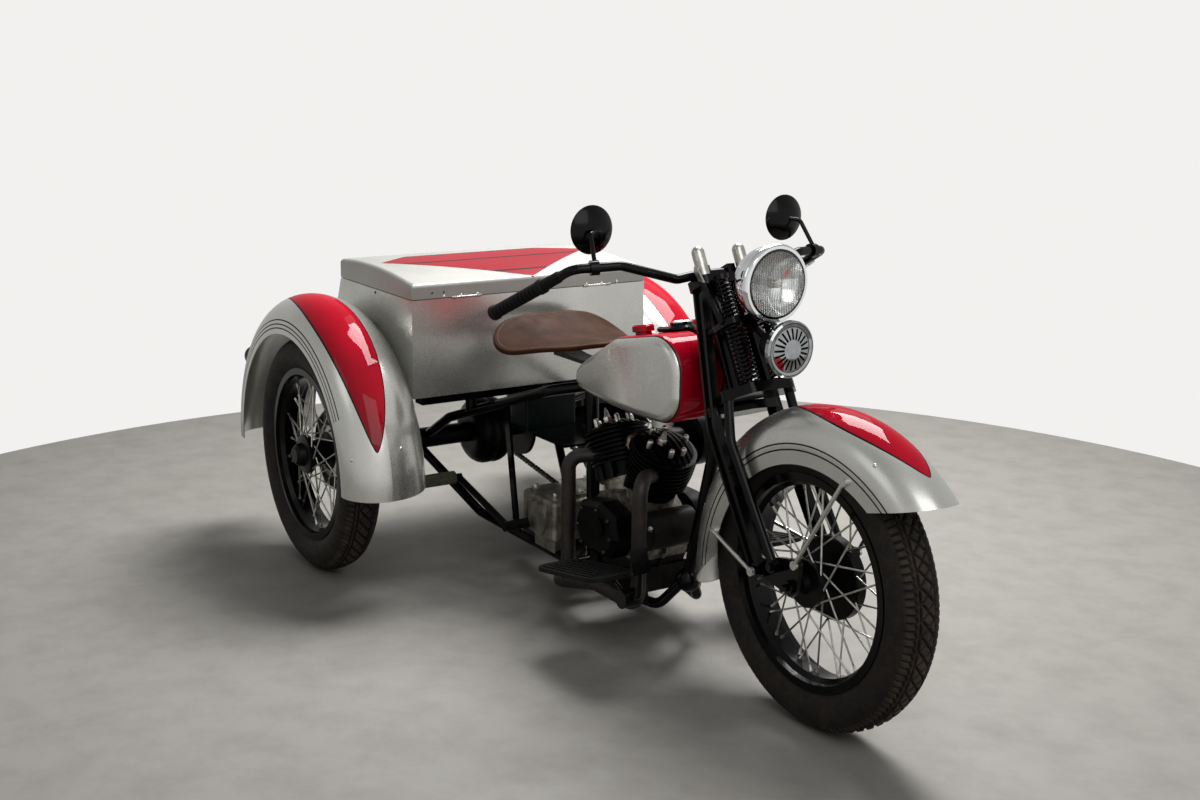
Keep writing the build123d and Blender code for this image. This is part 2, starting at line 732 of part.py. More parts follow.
u_wall = u_section(front_fender_half_width, front_fender_lip)
u_wall = u_wall - u_section(front_fender_half_width - fender_wall, front_fender_lip - 20)
front_fender = swept_ring(u_wall, fender_centre, front_fender_first - 9, front_fender_last + 11)
nose = on_ring(fender_centre, front_fender_radius, front_fender_first)
nose_low = on_ring(fender_centre, front_fender_lip, front_fender_first + 13)
tail = on_ring(fender_centre, front_fender_radius, front_fender_last)
tail_low = on_ring(fender_centre, front_fender_lip, front_fender_last - 17)
below = above * -front_fender_radius
nose_cut = [nose * 2 - nose_low, nose_low * 2 - nose, nose_low + below, nose * 2 - nose_low + below]
tail_cut = [tail * 2 - tail_low, tail_low * 1.3 - tail * 0.3, tail_low + ahead * 60 + below, tail * 2 - tail_low + below]
for outline in (nose_cut, tail_cut):
    front_fender = front_fender - side_plate(outline, -2 * front_fender_half_width, 2 * front_fender_half_width)
save("front_fender", front_fender)

stays = []
pad_front = on_ring(fender_centre, front_fender_lip + 14, 72)
pad_rear = on_ring(fender_centre, front_fender_lip + 14, 163)
lug_side = rocker_inner + rocker_plate
for root, root_side, pad in ((stay_lug, lug_side, pad_front), (leg_foot, leg_outer + 6, pad_rear)):
    foot = Vector(root.X, root_side + 4, root.Z)
    end = Vector(pad.X, front_fender_half_width + 4, pad.Z)
    pad_outer = front_fender_half_width + 8
    stay = joined([
        across(root, root_side, root_side + 8, 10), across(pad, front_fender_half_width, pad_outer, 10),
        rod(foot, end, 5),
    ])
    stays += both(largest(stay - rocker_set - front_fender))
save("fender_stays", *stays)

# Frame: steering head with the downtube, backbone, seat tube, lower rails and rear stays
head_bottom, head_top = steered(head_low, 0, 0), steered(head_high, 0, 0)
head_bore = rod(head_bottom - up * 5, head_top + up * 5, stem_radius + bearing_clearance)
foot_lug = at(foot_station, 0, foot_height)
down_start = steered(head_low, 0, 0, head_length * 0.35)
foot_boss = Pos(*foot_lug) * Sphere(2 * tube_radius)
frame_head = joined([rod(head_bottom, head_top, head_radius), rod(down_start, foot_lug, tube_radius), foot_boss])
frame_head = frame_head - head_bore
save("frame_head", frame_head)
seat_lug = at(seat_station, 0, seat_height)
backbone_start = steered(head_high, 0, 0, -head_length * 0.48)
backbone_run = seat_lug - backbone_start
backbone = largest(rod(backbone_start, seat_lug, tube_radius) - frame_head - head_bore)
tank_bosses = [
    across(backbone_start + backbone_run * share, -tank_inner, tank_inner, 12) for share in (0.25, 0.72)
]
save("frame_backbone", joined([backbone, *tank_bosses]))

gearbox_front = seat_station - seat_tube_radius + 3
gearbox_rear = gearbox_front - gearbox_length
gearbox_high = gearbox_low + gearbox_height
axle_tube = rod(at(0, 80 - wheel_side, 0), at(0, wheel_side - 80, 0), axle_tube_radius)
rails = []
for side in (-1, 1):
    rail = pipe([
        at(foot_station, side * 12, foot_height), at(foot_station - 40, side * 60, rail_height),
        at(foot_station - 120, side * rail_spread, rail_height),
        at(gearbox_rear - 8, side * rail_spread, rail_height),
        at(gearbox_rear - 188, side * (rail_spread + rail_rear_spread) * 0.47, rail_height + 49),
        at(0, side * rail_rear_spread, 0),
    ], 38, rail_radius)
    rails.append(largest(rail - frame_head - axle_tube))
save("frame_lower_rails", *rails)
cross_tube = across(at(seat_station + 40, 0, rail_height), -rail_spread, rail_spread, rail_radius)
seat_foot = at(seat_station + 20, 0, rail_height)
shelf = block(at(seat_station, -85, battery_low - 6), at(box_front + 12, 85, battery_low))
seat_tube = joined([rod(seat_lug + above * 40, seat_foot, seat_tube_radius), cross_tube, shelf])
seat_tube = largest(seat_tube - backbone - rails[0] - rails[1])
save("frame_seat_tube", seat_tube)
stays_frame = []
stay_bends = [(seat_station, 8, stay_height), (seat_station - 60, 95, stay_height - 15), (140, 190, 90)]
for side in (-1, 1):
    stay_path = [at(x, side * y, z) for x, y, z in stay_bends] + [at(0, side * stay_rear_spread, 0)]
    stay = pipe(stay_path, 50, stay_radius)
    stays_frame.append(largest(stay - seat_tube - axle_tube - backbone))
brace_station = box_front + brace_ahead
share = (stay_bends[1][0] - brace_station) / (stay_bends[1][0] - stay_bends[2][0])
brace_top = at(brace_station, *[-(a + (b - a) * share) * s for a, b, s in
                                zip(stay_bends[1][1:], stay_bends[2][1:], (1, -1))])
brace = flat_bar(brace_top, at(brace_station, -rail_spread - 22, rail_height + 15), brace_width, brace_thick)
stays_frame[0] = joined([stays_frame[0], largest(brace - rails[0])])
save("frame_rear_stays", *stays_frame)

# Rear axle with its differential, sprocket, spindles and backing plates
axle_middle = at(0, 0, 0)
plate_side = wheel_side - rear_hub_inner - drum_gap
chain_inner, chain_outer = chain_side - chain_width / 2, chain_side + chain_width / 2
rear_axle = [axle_tube, across(axle_middle, chain_inner, chain_outer, rear_sprocket), turned([
    (0, -differential_half), (differential_radius * 0.6, -differential_half),
    ((differential_radius * 0.9, -differential_half * 0.75), (differential_radius, 0)),
    ((differential_radius * 0.9, differential_half * 0.75), (differential_radius * 0.6, differential_half)),
    (0, differential_half),
], axle_middle)]
for side in (-1, 1):
    plate = side * plate_side
    rear_axle += [
        across(axle_middle, side * (wheel_side - 90), plate, axle_tube_radius),
        across(axle_middle, plate - side * plate_thick, plate, rear_drum_radius + 4),
        across(axle_middle, plate - side * 20, side * (wheel_side + spindle_depth - 2), spindle_radius),
    ]
save("rear_axle", joined(rear_axle))

# Gearbox with its lid, end flange, ribs and sprocket, on feet over the rails
gear_station, gear_height = (gearbox_front + gearbox_rear) / 2, (gearbox_low + gearbox_high) / 2
gear_shaft = at(gear_station, 0, gear_height)
case = block(at(gearbox_rear, -gearbox_half_width, gearbox_low), at(gearbox_front, gearbox_half_width, gearbox_high))
case = fillet(case.edges(), gearbox_round)
lid_corner = at(gearbox_rear - 5, -gearbox_half_width + 14, gearbox_high - 4)
gear_lid = block(lid_corner, at(gearbox_front - 20, gearbox_half_width - 14, gearbox_high + 9))
flange_corner = at(gearbox_rear - 9, -gearbox_half_width - 5, gearbox_low + 14)
end_flange = block(flange_corner, at(gearbox_rear + 5, gearbox_half_width - 40, gearbox_high + 4))
gearbox = [
    case, fillet(gear_lid.edges().filter_by(Axis.Z), 10), fillet(end_flange.edges().filter_by(Axis.X), 12),
    across(gear_shaft, -gearbox_half_width - 12, -gearbox_half_width + 5, 46),
    across(gear_shaft, gearbox_half_width - 5, chain_inner, front_sprocket / 2),
    across(gear_shaft, chain_inner, chain_outer, front_sprocket),
]
for offset in (-40, 40):
    rib = block(at(gear_station + offset - 4, -gearbox_half_width - 7, gearbox_low + 16),
                at(gear_station + offset + 4, -gearbox_half_width + 4, gearbox_high - 14))
    gearbox.append(rib)
for side in (-1, 1):
    gearbox.append(block(at(gearbox_rear + 20, side * (rail_spread - 22), rail_height),
                         at(gearbox_front - 20, side * (rail_spread + 12), gearbox_low + gearbox_round)))
gearbox = joined(gearbox) - rails[0] - rails[1]
save("gearbox", gearbox)

# Drive chain: wide and narrow link plates in turn, round both sprockets
chain_gap = chain_half_height + chain_clearance
chain_line = hull_face([(gear_shaft.X, gear_shaft.Z, front_sprocket + chain_gap),
                        (axle_middle.X, axle_middle.Z, rear_sprocket + chain_gap)]).face().outer_wire()
chain_links = 2 * round(chain_line.length / chain_pitch / 2)
pins = [chain_line.position_at(index / chain_links) for index in range(chain_links)]
links = []
for index, pin in enumerate(pins):
    run = pins[(index + 1) % chain_links] - pin
    tall, waist = chain_half_height, chain_half_height * 0.7
    half_plate = [(-tall, -tall * 0.4), (-tall * 0.4, -tall), (run.length / 2, -waist),
                  (run.length + tall * 0.4, -tall), (run.length + tall, -tall * 0.4)]
    plate = make_face(Polyline(*half_plate, *[(x, -y) for x, y in reversed(half_plate)], close=True))
    half_width = chain_width / 2 if index % 2 else chain_width / 3
    placed = Pos(pin.X, pin.Y) * Rot(0, 0, degrees(atan2(run.Y, run.X))) * plate
    links.append(slab(placed, chain_side - half_width, chain_side + half_width))
save("drive_chain", joined(links))

# Engine: crankcase with its parting flange, generator, cylinder seats and feet
crank = at(crank_station, 0, crank_height)
generator = at(crank_station + generator_ahead, 0, crank_height + 55)
leans = [Vector(sin(radians(angle)), 0, cos(radians(angle))) for angle in (vee_half_angle, -vee_half_angle)]
crankcase = [
    across(crank, -case_half_width, case_half_width, case_radius),
    across(crank, -5, 5, case_radius + case_flange),
    across(generator, -case_half_width - 20, 40, generator_radius),
    slab(hull_face([(crank.X, crank.Z, 0.7 * case_radius), (generator.X, generator.Z, 0.6 * generator_radius)]), -50, 30),
]
crankcase += [rod(crank, crank + lean * barrel_base, barrel_radius + cylinder_foot) for lean in leans]
for offset in (-95, 60):
    crankcase.append(block(at(crank_station + offset, -rail_spread - 10, rail_height),
                           at(crank_station + offset + 36, rail_spread + 10, crank_height - 70)))
crankcase = joined(crankcase) - rails[0] - rails[1]
save("crankcase", crankcase)

# Timing cover: a faceted casting, from the crank's place ahead and above
cover_corners = [(-72, -40), (62, -40), (98, 16), (84, 76), (15, 96), (-72, 82), (-96, 20)]
cover = side_plate([crank + Vector(x, 0, z) for x, z in cover_corners], -case_half_width - timing_cover_depth,
                   -case_half_width)
cover = chamfer(cover.faces().sort_by(Axis.Y)[0].edges(), 12)
cover_face = -case_half_width - timing_cover_depth
boss = across(crank + Vector(20, 0, 34), cover_face - 6, cover_face + 5, 26)
save("timing_cover", joined([cover, boss]))

# Cylinders: finned barrel and ribbed head on each lean of the vee, with valve tubes on the right
cylinders = []
cylinder_top = barrel_base + barrel_length + head_height
fin_count = int((barrel_length + head_height - fin_start) / fin_pitch)
for lean in leans:
    flange = barrel_radius + cylinder_foot
    profile = [(0, barrel_base), (flange, barrel_base), (flange, barrel_base + 8), (barrel_radius, barrel_base + 8)]
    for index in range(fin_count):
        base = barrel_base + fin_start + index * fin_pitch
        reach = min(fin_radius, base * tan(radians(vee_half_angle)) - fin_spacing)
        profile += [(barrel_radius, base), (reach, base + 1), (reach, base + fin_thickness),
                    (barrel_radius, base + fin_thickness + 1)]
    profile += [(fin_radius - 10, cylinder_top - 12), dome(fin_radius - 10, cylinder_top - 12, 20)]
    barrel = turned(profile, crank, lean, left)
    head_plane = Plane(crank + lean * (cylinder_top - rib_depth), x_dir=left, z_dir=lean)
    grooves = [Pos((step - 2.5) * rib_pitch) * Rectangle(rib_groove, 2 * fin_radius) for step in range(6)]
    barrel = barrel - extrude(head_plane * (Sketch() + grooves), 2 * rib_depth, dir=lean)
    tubes = []
    for spread in (-valve_tube_spread, valve_tube_spread):
        root = crank + lean.cross(left) * spread - left * valve_tube_side
        tubes.append(rod(root + lean * barrel_base, root + lean * (barrel_base + fin_start + 2), valve_tube_radius))
    cylinders.append(largest(joined([barrel, *tubes])))
save("cylinders", *cylinders)

# Carburettor between the cylinders, with its round air cleaner on the left
intake = crank + above * (barrel_base + barrel_length - 10)
carb_side = fin_radius + 22
cleaner = turned([(0, 40), (60, 40), (72, 46), (72, 76), ((66, 83), (54, 86)), (0, 86)], intake + left * carb_side)
carburettor = joined([
    rod(intake - ahead * 60, intake + ahead * 60, 20), across(intake, 0, carb_side + 50, 18),
    across(intake, carb_side - 20, carb_side + 20, 32), cleaner,
]) - cylinders[0] - cylinders[1]
save("carburettor", largest(carburettor))

# Exhaust: two pipes down the right side, a low run under the rail and a muffler below the gearbox
port_height = barrel_base + 62
low_run = rail_height - rail_radius - pipe_radius - pipe_clearance
front_port, rear_port = [crank + lean * port_height - left * 40 for lean in leans]
front_pipe_station = crank_station + front_pipe_ahead
rear_pipe_station = crank_station - rear_pipe_back
muffler_front = at(gearbox_front - 40, 0, gearbox_low - muffler_gap - muffler_radius)
muffler_rear = muffler_front - ahead * muffler_length
front_pipe = pipe([
    front_port + ahead * 40, Vector(at(front_pipe_station, 0, 0).X, -pipe_side, front_port.Z + 20),
    at(front_pipe_station, -pipe_side, low_run + pipe_dip), at(crank_station, -pipe_side, low_run + pipe_dip),
    at(gearbox_front + 65, -pipe_side, low_run),
    muffler_front + ahead * 15, muffler_front - ahead * 40,
], pipe_bend, pipe_radius)
rear_pipe = pipe([
    rear_port - ahead * 10, Vector(at(rear_pipe_station, 0, 0).X, -pipe_side, rear_port.Z),
    at(rear_pipe_station, -pipe_side, low_run + 10),
], pipe_bend - 10, pipe_radius)
muffler = turned([
    (0, 0), (muffler_radius - 8, 0), (muffler_radius, 14), (muffler_radius, muffler_length - 14),
    (muffler_radius - 8, muffler_length), (0, muffler_length),
], muffler_rear, ahead, left)
exhaust = joined([front_pipe, rear_pipe, muffler])
for piece in (*cylinders, crankcase, gearbox, *rails):
    exhaust = exhaust - piece
exhaust = largest(exhaust)
save("exhaust", exhaust)

# Primary cover on the left, over the engine and clutch sprockets
clutch = gear_shaft + Vector(24, 0, 20)
primary_side = chain_side + primary_gap
primary = slab(hull_face([(crank.X, crank.Z, 82), (clutch.X, clutch.Z, 104)]), primary_side, primary_side + primary_depth)
primary = fillet(primary.faces().sort_by(Axis.Y)[-1].edges(), primary_gap)
save("primary_cover", joined([primary, across(crank, case_half_width, primary_side, 60)]))

# Kick starter: shaft, arm and a fluted rubber pedal with an end nut
kick_shaft = at(gearbox_rear + 22, 0, gearbox_low + 30)
kick_pedal = kick_shaft + Vector(-kick_length, 0, kick_rise)
arm_side = gearbox_half_width + 74
flutes = [(kick_rubber_radius - kick_flute_depth * (turn % 2), radians(turn * 15)) for turn in range(24)]
flute_points = [(kick_pedal.X + radius * cos(turn), kick_pedal.Z + radius * sin(turn)) for radius, turn in flutes]
pedal_out = arm_side + 12 + kick_pedal_length
save("kick_starter", joined([
    across(kick_shaft, -arm_side - 10, -gearbox_half_width + 20, 14),
    rod(kick_shaft - left * arm_side, kick_pedal - left * (arm_side + 8), 10),
    across(kick_pedal, -pedal_out - 12, -arm_side + 2, 9),
    slab(make_face(Polyline(*flute_points, close=True)), -pedal_out, -arm_side - 20),
]) - gearbox)

# Tank halves: side outline round four circles, bowed in plan, with a rounded outer edge
tank_places = {name: (at(seat_station + x, 0, z), radius) for name, (x, z, radius) in tank_circles.items()}
tank_loop = [tank_places[name] for name in ("tail", "shoulder", "chin", "brow", "shoulder")]
tank_side = hull_face([(place.X, place.Z, radius) for place, radius in tank_loop])
plan_rear = tank_places["tail"][0].X - tank_places["tail"][1] - 5
plan_front = at(tank_front, 0, 0).X + 5
tank_plan = face_of(
    (plan_rear, 0), (plan_rear, -tank_tail_side),
    ((plan_rear + (plan_front - plan_rear) * 0.62, -tank_outer), (plan_front, -tank_front_side)), (plan_front, 0),
)
tank = slab(tank_side, -tank_inner, -tank_outer - 10)
tank = tank & extrude(tank_plan, axle_height + head_high, dir=(0, 0, 1))
tank = fillet(tank.faces().sort_by(Axis.Y)[0].edges(), tank_round)
(shoulder, shoulder_radius), (brow, brow_radius) = tank_places["shoulder"], tank_places["brow"]
top_run = brow - shoulder
top_slope = atan2(top_run.Z, top_run.X) + asin((brow_radius - shoulder_radius) / top_run.length)
top_normal = Vector(-sin(top_slope), 0, cos(top_slope))
top_along = Vector(cos(top_slope), 0, sin(top_slope))
top_start = shoulder + top_normal * shoulder_radius
cap_place = top_start + top_along * (cap_radius + 3) - left * cap_side
cap_profile = [(0, -4), (cap_radius - 7, -4), (cap_radius - 7, 6), (cap_radius, 8), (cap_radius, cap_height - 4),
               (cap_radius - 4, cap_height), (0, cap_height)]
tank = joined([tank, turned(cap_profile, cap_place, top_normal, left)])
tanks = both(tank)
save("fuel_tanks", *tanks)

# Instrument panel: a teardrop plate on the flat of the tank tops, with a round dial
panel_plane = Plane(top_start, x_dir=top_along, z_dir=top_normal)
dial_place = 3 * panel_half_width - 4
panel = extrude(panel_plane * hull_face([(dial_place, 0, panel_half_width), (12, 0, 12)]), panel_thick, dir=top_normal)
panel = chamfer(panel.faces().sort_by(Axis.Z)[-1].edges(), 5)
dial = top_start + top_along * dial_place
save("instrument_panel", joined([panel, rod(dial, dial + top_normal * (panel_thick + 7), panel_half_width - 7)]))

# Saddle: broad at the back, narrow at the nose, dipped along its length, on a sprung post
lobe_side = saddle_half_width - saddle_lobe_radius
lobe_x, nose_x = saddle_rear + saddle_lobe_radius, saddle_nose - saddle_nose_radius
saddle_plan = hull_face([
    (at(lobe_x, 0, 0).X, -lobe_side, saddle_lobe_radius), (at(nose_x, 0, 0).X, 0, saddle_nose_radius),
    (at(lobe_x, 0, 0).X, lobe_side, saddle_lobe_radius),
])
saddle_line = [at(saddle_rear - 1, 0, saddle_rear_height), at((saddle_rear + saddle_nose) / 2, 0, saddle_dip_height),
               at(saddle_nose + 1, 0, saddle_nose_height)]
(rear_top, dip_top, nose_top) = [(place.X, place.Z) for place in saddle_line]
(rear_low, dip_low, nose_low) = [(x, z - saddle_thick) for x, z in (rear_top, dip_top, nose_top)]
saddle_band = face_of(rear_top, (dip_top, nose_top), nose_low, (dip_low, rear_low))
saddle = slab(saddle_band, -saddle_half_width - 5, saddle_half_width + 5)
saddle = saddle & extrude(saddle_plan, axle_height + head_high, dir=(0, 0, 1))
saddle = fillet(saddle.faces().sort_by(Axis.Z)[-1].edges(), saddle_round)
save("saddle", saddle)
post_top = at(seat_station, 0, saddle_nose_height)
tee = block(at(seat_station - 150, -28, saddle_dip_height - saddle_thick - 14), at(seat_station + 30, 28, saddle_nose_height))
post = joined([rod(seat_lug + above * 40, post_top, 12), tee]) - seat_tube - saddle
save("saddle_post", min(post.solids(), key=lambda solid: solid.center().Z))
battery = block(at(box_front + 12, -battery_half_width, battery_low),
                at(box_front + 12 + battery_depth, battery_half_width, battery_low + battery_height))
save("battery", fillet(battery.edges().filter_by(Axis.Z), 8))

# Footboards: ribbed plates on bent arms from the lower rails
arm_station = foot_station + board_ahead - board_length / 2
board_middle = at(arm_station, -(board_inner + board_outer) / 2, board_height)
tilt = radians(board_tilt)
board_plane = Plane(board_middle, x_dir=Vector(cos(tilt), 0, sin(tilt)), z_dir=Vector(-sin(tilt), 0, cos(tilt)))
board_width = board_outer - board_inner
board = extrude(board_plane * RectangleRounded(board_length, board_width, 40), board_thick)
tread_pitch = board_width / (board_ribs + 1)
ribs = [
    Pos(0, (index + 1) * tread_pitch - board_width / 2) * SlotOverall(board_length - 60, tread_pitch * 0.5)
    for index in range(board_ribs)
]
ribs = extrude(board_plane.offset(board_thick - 1) * (Sketch() + ribs), 4)
arm_low = board_height - 22
arm = pipe([
    at(arm_station, -rail_spread, rail_height), at(arm_station, -rail_spread - 10, rail_height + 61),
    at(arm_station, -board_inner - 10, arm_low), at(arm_station, -board_inner - 60, arm_low + 20),
], 16, 9)
board = largest(joined([board, *ribs.solids(), arm]) - rails[0])
save("footboards", *both(board))

# Brake pedal on the right board's arm, and the hand gear lever in its gate on the left tank
pedal_hub = at(foot_station + 33, -board_inner - 6, board_height - 43)
pedal_toe = pedal_hub + Vector(69, -14, 115)
pedal = joined([
    rod(at(arm_station, -board_inner + 24, board_height - 30), pedal_hub, 8),
    across(pedal_hub, pedal_hub.Y - 22, pedal_hub.Y + 18, 23),
    pipe([pedal_hub, pedal_hub + Vector(53, -6, 21), pedal_toe - above * 4], 20, 8),
    Pos(*pedal_toe) * Rot(0, 70, 0) * Box(60, 44, 9),
]) - board - exhaust
gate_place = at(tank_front - 226, tank_outer, tank_circles["shoulder"][1] + 18)
knob = gate_place + Vector(50, 56, 150)
gear_lever = joined([
    block(gate_place + Vector(-50, -24, -14), gate_place + Vector(50, 16, 14)),
    rod(gate_place + Vector(0, 12, -40), knob, 6), Pos(*knob) * Sphere(17),
]) - tanks[1]
save("control_levers", largest(pedal), max(gear_lever.solids(), key=lambda solid: solid.center().Y))

# Load box: sides, floor, and two ends; the front end carries the lid's hinge knuckles
box_inner = box_half_width - box_wall
side_corners = [at(box_front, 0, box_low), at(box_front, 0, box_high), at(box_rear_high, 0, box_high),
                at(box_rear_low, 0, box_low)]
save("body_sides", *both(side_plate(side_corners, -box_half_width, -box_inner)))
rear_panel = side_plate([
    at(box_rear_low, 0, box_low), at(box_rear_high, 0, box_high), at(box_rear_high + box_wall, 0, box_high),
    at(box_rear_low + box_wall, 0, box_low),
], -box_inner, box_inner)
front_panel = block(at(box_front - box_wall, -box_inner, box_low), at(box_front, box_inner, box_high))
floor = block(at(box_rear_low, -box_inner, box_low), at(box_front - box_wall, box_inner, box_low + box_wall))
floor = max((floor - rear_panel).solids(), key=lambda solid: solid.volume)
save("body_floor", floor)

hinge_line = at(box_front + hinge_out, 0, box_high + lid_gap / 2)
half_knuckle = hinge_knuckle_length / 2
lug_near, lug_far = half_knuckle + hinge_gap, half_knuckle + hinge_gap + hinge_lug_length
room = hinge_knuckle_radius + hinge_gap
lid_lugs, lid_relief = [], []
for side in (-hinge_spread, hinge_spread):
    knuckle = across(hinge_line, side - half_knuckle, side + half_knuckle, hinge_knuckle_radius)
    pin_bore = across(hinge_line, side - lug_far, side + lug_far, hinge_pin_radius + bearing_clearance)
    lid_lugs.append(across(hinge_line, side - lug_far, side + lug_far, hinge_pin_radius))
    lid_relief.append(across(hinge_line, side - lug_near, side + lug_near, room))
    for near, far in ((-lug_near, -lug_far), (lug_near, lug_far)):
        lid_lugs.append(across(hinge_line, side + near, side + far, hinge_knuckle_radius))
        reach = hinge_gap if far > 0 else -hinge_gap
        front_panel = front_panel - across(hinge_line, side + near, side + far + reach, room)
    front_panel = joined([front_panel, knuckle]) - pin_bore
save("body_ends", front_panel, rear_panel)

# Lid: a shallow arched tray with a deep front lip, hinged along its front edge
lid_low = box_high + lid_gap


def lid_shape(inset, side):
    low = at(0, 0, lid_low).Z - (1 if inset else 0)
    front_top = at(box_front - inset, 0, lid_low + lid_lip - inset)
    crown_top = at(lid_crown_station, 0, lid_low + lid_crown_rise - inset)
    rear_top = at(box_rear_high + inset, 0, lid_low + lid_rear_rise - inset)
    face = face_of((front_top.X, low), (front_top.X, front_top.Z), ((crown_top.X, crown_top.Z), (rear_top.X, rear_top.Z)),
                   (rear_top.X, low))
    return slab(face, -side, side)


lid = lid_shape(0, box_half_width)
lid = fillet(lid.faces().sort_by(Axis.Z)[-1].edges(), lid_edge)
lid = lid - lid_shape(box_wall, box_inner)
for offset in (-lid_hole_spacing / 2, lid_hole_spacing / 2):
    spot = at(box_front, offset - lid_hole_side, lid_low + lid_hole_rise)
    lid = lid - rod(spot - ahead * 20, spot + ahead * 20, lid_hole_radius)
for cut in lid_relief:
    lid = lid - cut
save("body_lid", joined([lid, *lid_lugs]))

# Box supports: a front cross member on posts from the rear stays, and a rear one on spring columns
front_member = box_front - front_member_back
share = (stay_bends[1][0] - front_member) / (stay_bends[1][0] - stay_bends[2][0])
post_side = stay_bends[1][1] + (stay_bends[2][1] - stay_bends[1][1]) * share
post_foot = stay_bends[1][2] + (stay_bends[2][2] - stay_bends[1][2]) * share
supports = []
for station in (front_member, 0):
    supports.append(block(at(station - member_half, -member_half_length, box_low - member_height),
                          at(station + member_half, member_half_length, box_low)))
member_low = box_low - member_height
posts = [rod(at(front_member, side * post_side, member_low), at(front_member, side * post_side, post_foot),
             support_post_radius) for side in (-1, 1)]
columns = [coil(at(0, side * support_spring_side, 0), at(0, side * support_spring_side, member_low),
                support_spring_radius, support_spring_wire, 12) for side in (-1, 1)]
front_support = joined([supports[0], *posts]) - stays_frame[0] - stays_frame[1]
rear_support = joined([supports[1], *columns]) - axle_tube
save("body_supports", largest(front_support), largest(rear_support))

# Rear fenders: one broad crowned section swept round each wheel, from the box side out over the tyre
rear_centre = at(-rear_fender_back, 0, -rear_fender_drop)
rear_fender_outer = wheel_side + tyre_half + rear_fender_overhang
crest = wheel_side - rear_fender_crest_in


def crowned(wall):
    top, out = rear_fender_radius - wall, rear_fender_outer - wall
    round_out = out - crest
    reach = crest - box_half_width
    round_in = (rear_fender_inner_drop**2 + reach**2) / (2 * rear_fender_inner_drop) - wall
    low = rear_fender_radius - rear_fender_depth - (10 if wall else 0)
    inner = crest - min(reach + 12, round_in * 0.985)
    halfway = (crest + inner) / 2

    def inner_height(side):
        return top - round_in + (round_in**2 - (side - crest) ** 2) ** 0.5

    elbow = (top - round_out * (1 - 0.7071), crest + round_out * 0.7071)
    return face_of((low, out), (top - round_out, out), (elbow, (top, crest)),
                   ((inner_height(halfway), halfway), (inner_height(inner), inner)), (low, inner))


rear_fender = swept_ring(crowned(0) - crowned(fender_wall), rear_centre, 0, rear_fender_last)
box_space = block(at(-overall_length, -box_half_width, -axle_height), at(overall_length, box_half_width, head_high))
rear_fender = largest(rear_fender - box_space)
save("rear_fenders", *both(rear_fender))

lamp_place = on_ring(rear_centre, rear_fender_radius - 14, 150, crest + 35)
tail_profile = [(0, 0), (tail_lamp_radius - 4, 0), (tail_lamp_radius, 8), (tail_lamp_radius, tail_lamp_length - 10),
                dome(tail_lamp_radius, tail_lamp_length - 10, 10)]
tail = turned(tail_profile, lamp_place, -ahead, left) - rear_fender
save("tail_lamps", *both(largest(tail)))
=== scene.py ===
import bpy, bmesh, math
import numpy as np
from mathutils import Matrix, Vector


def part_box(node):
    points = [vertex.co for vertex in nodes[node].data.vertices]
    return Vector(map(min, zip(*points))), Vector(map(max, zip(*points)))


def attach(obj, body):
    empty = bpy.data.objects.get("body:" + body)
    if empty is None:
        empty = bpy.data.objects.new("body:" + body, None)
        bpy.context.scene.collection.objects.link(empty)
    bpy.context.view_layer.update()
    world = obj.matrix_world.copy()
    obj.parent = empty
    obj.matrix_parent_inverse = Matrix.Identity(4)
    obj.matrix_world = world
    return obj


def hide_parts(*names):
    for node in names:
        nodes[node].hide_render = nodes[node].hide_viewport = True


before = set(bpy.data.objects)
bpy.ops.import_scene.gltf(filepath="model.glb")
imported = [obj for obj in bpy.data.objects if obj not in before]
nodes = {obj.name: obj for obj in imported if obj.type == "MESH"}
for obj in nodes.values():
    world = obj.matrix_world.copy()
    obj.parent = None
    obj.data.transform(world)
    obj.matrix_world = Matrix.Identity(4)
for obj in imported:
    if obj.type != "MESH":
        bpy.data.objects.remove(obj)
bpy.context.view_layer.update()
scene = bpy.context.scene
scene.view_settings.view_transform = "Standard"
print("frame loaded:", len(nodes), "nodes")


def boxOf(node):
    return np.array(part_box(node), float)


# axle places, in metres; stations run forward from the rear axle
rearX, wheelSide, axleZ = boxOf("rear_tyre_left").mean(0)
frontX = boxOf("front_tyre").mean(0)[0]
frontAxle = np.array((frontX, 0, axleZ))
rake, trail = math.radians(28.0), 0.058
foreWay = np.array((math.cos(rake), 0, math.sin(rake)))  # square to the steering axis
upWay = np.array((-math.sin(rake), 0, math.cos(rake)))  # along the steering axis
leftWay = np.array((0.0, 1.0, 0.0))


def at(station, side, height):
    # millimetres ahead of the rear axle, to the left and above the axles
    return np.array((rearX + station / 1000, side / 1000, axleZ + height / 1000))


def steered(height, reach, side, rise=0.0):
    # a place beside the steering axis: at a height on it, then out, sideways and along it, in millimetres
    z = axleZ + height / 1000
    onAxis = np.array((frontX + trail - z * math.tan(rake), 0, z))
    return onAxis + (foreWay * reach + upWay * rise + leftWay * side) / 1000


# perch of the spring fork, which carries headlamp and horn, and clamp of the handlebar, in millimetres
perch = {"height": 482.0, "reach": 106.0, "half": 7.0}
perchTop = steered(perch["height"], perch["reach"], 0, perch["half"])
barMiddle = steered(584, 34, 0, 26)


def hexLinear(text):
    # sRGB hex to linear light, channel by channel
    channels = [int(text[i:i + 2], 16) / 255 for i in (1, 3, 5)]
    return tuple(c / 12.92 if c <= 0.04045 else ((c + 0.055) / 1.055) ** 2.4 for c in channels) + (1.0,)


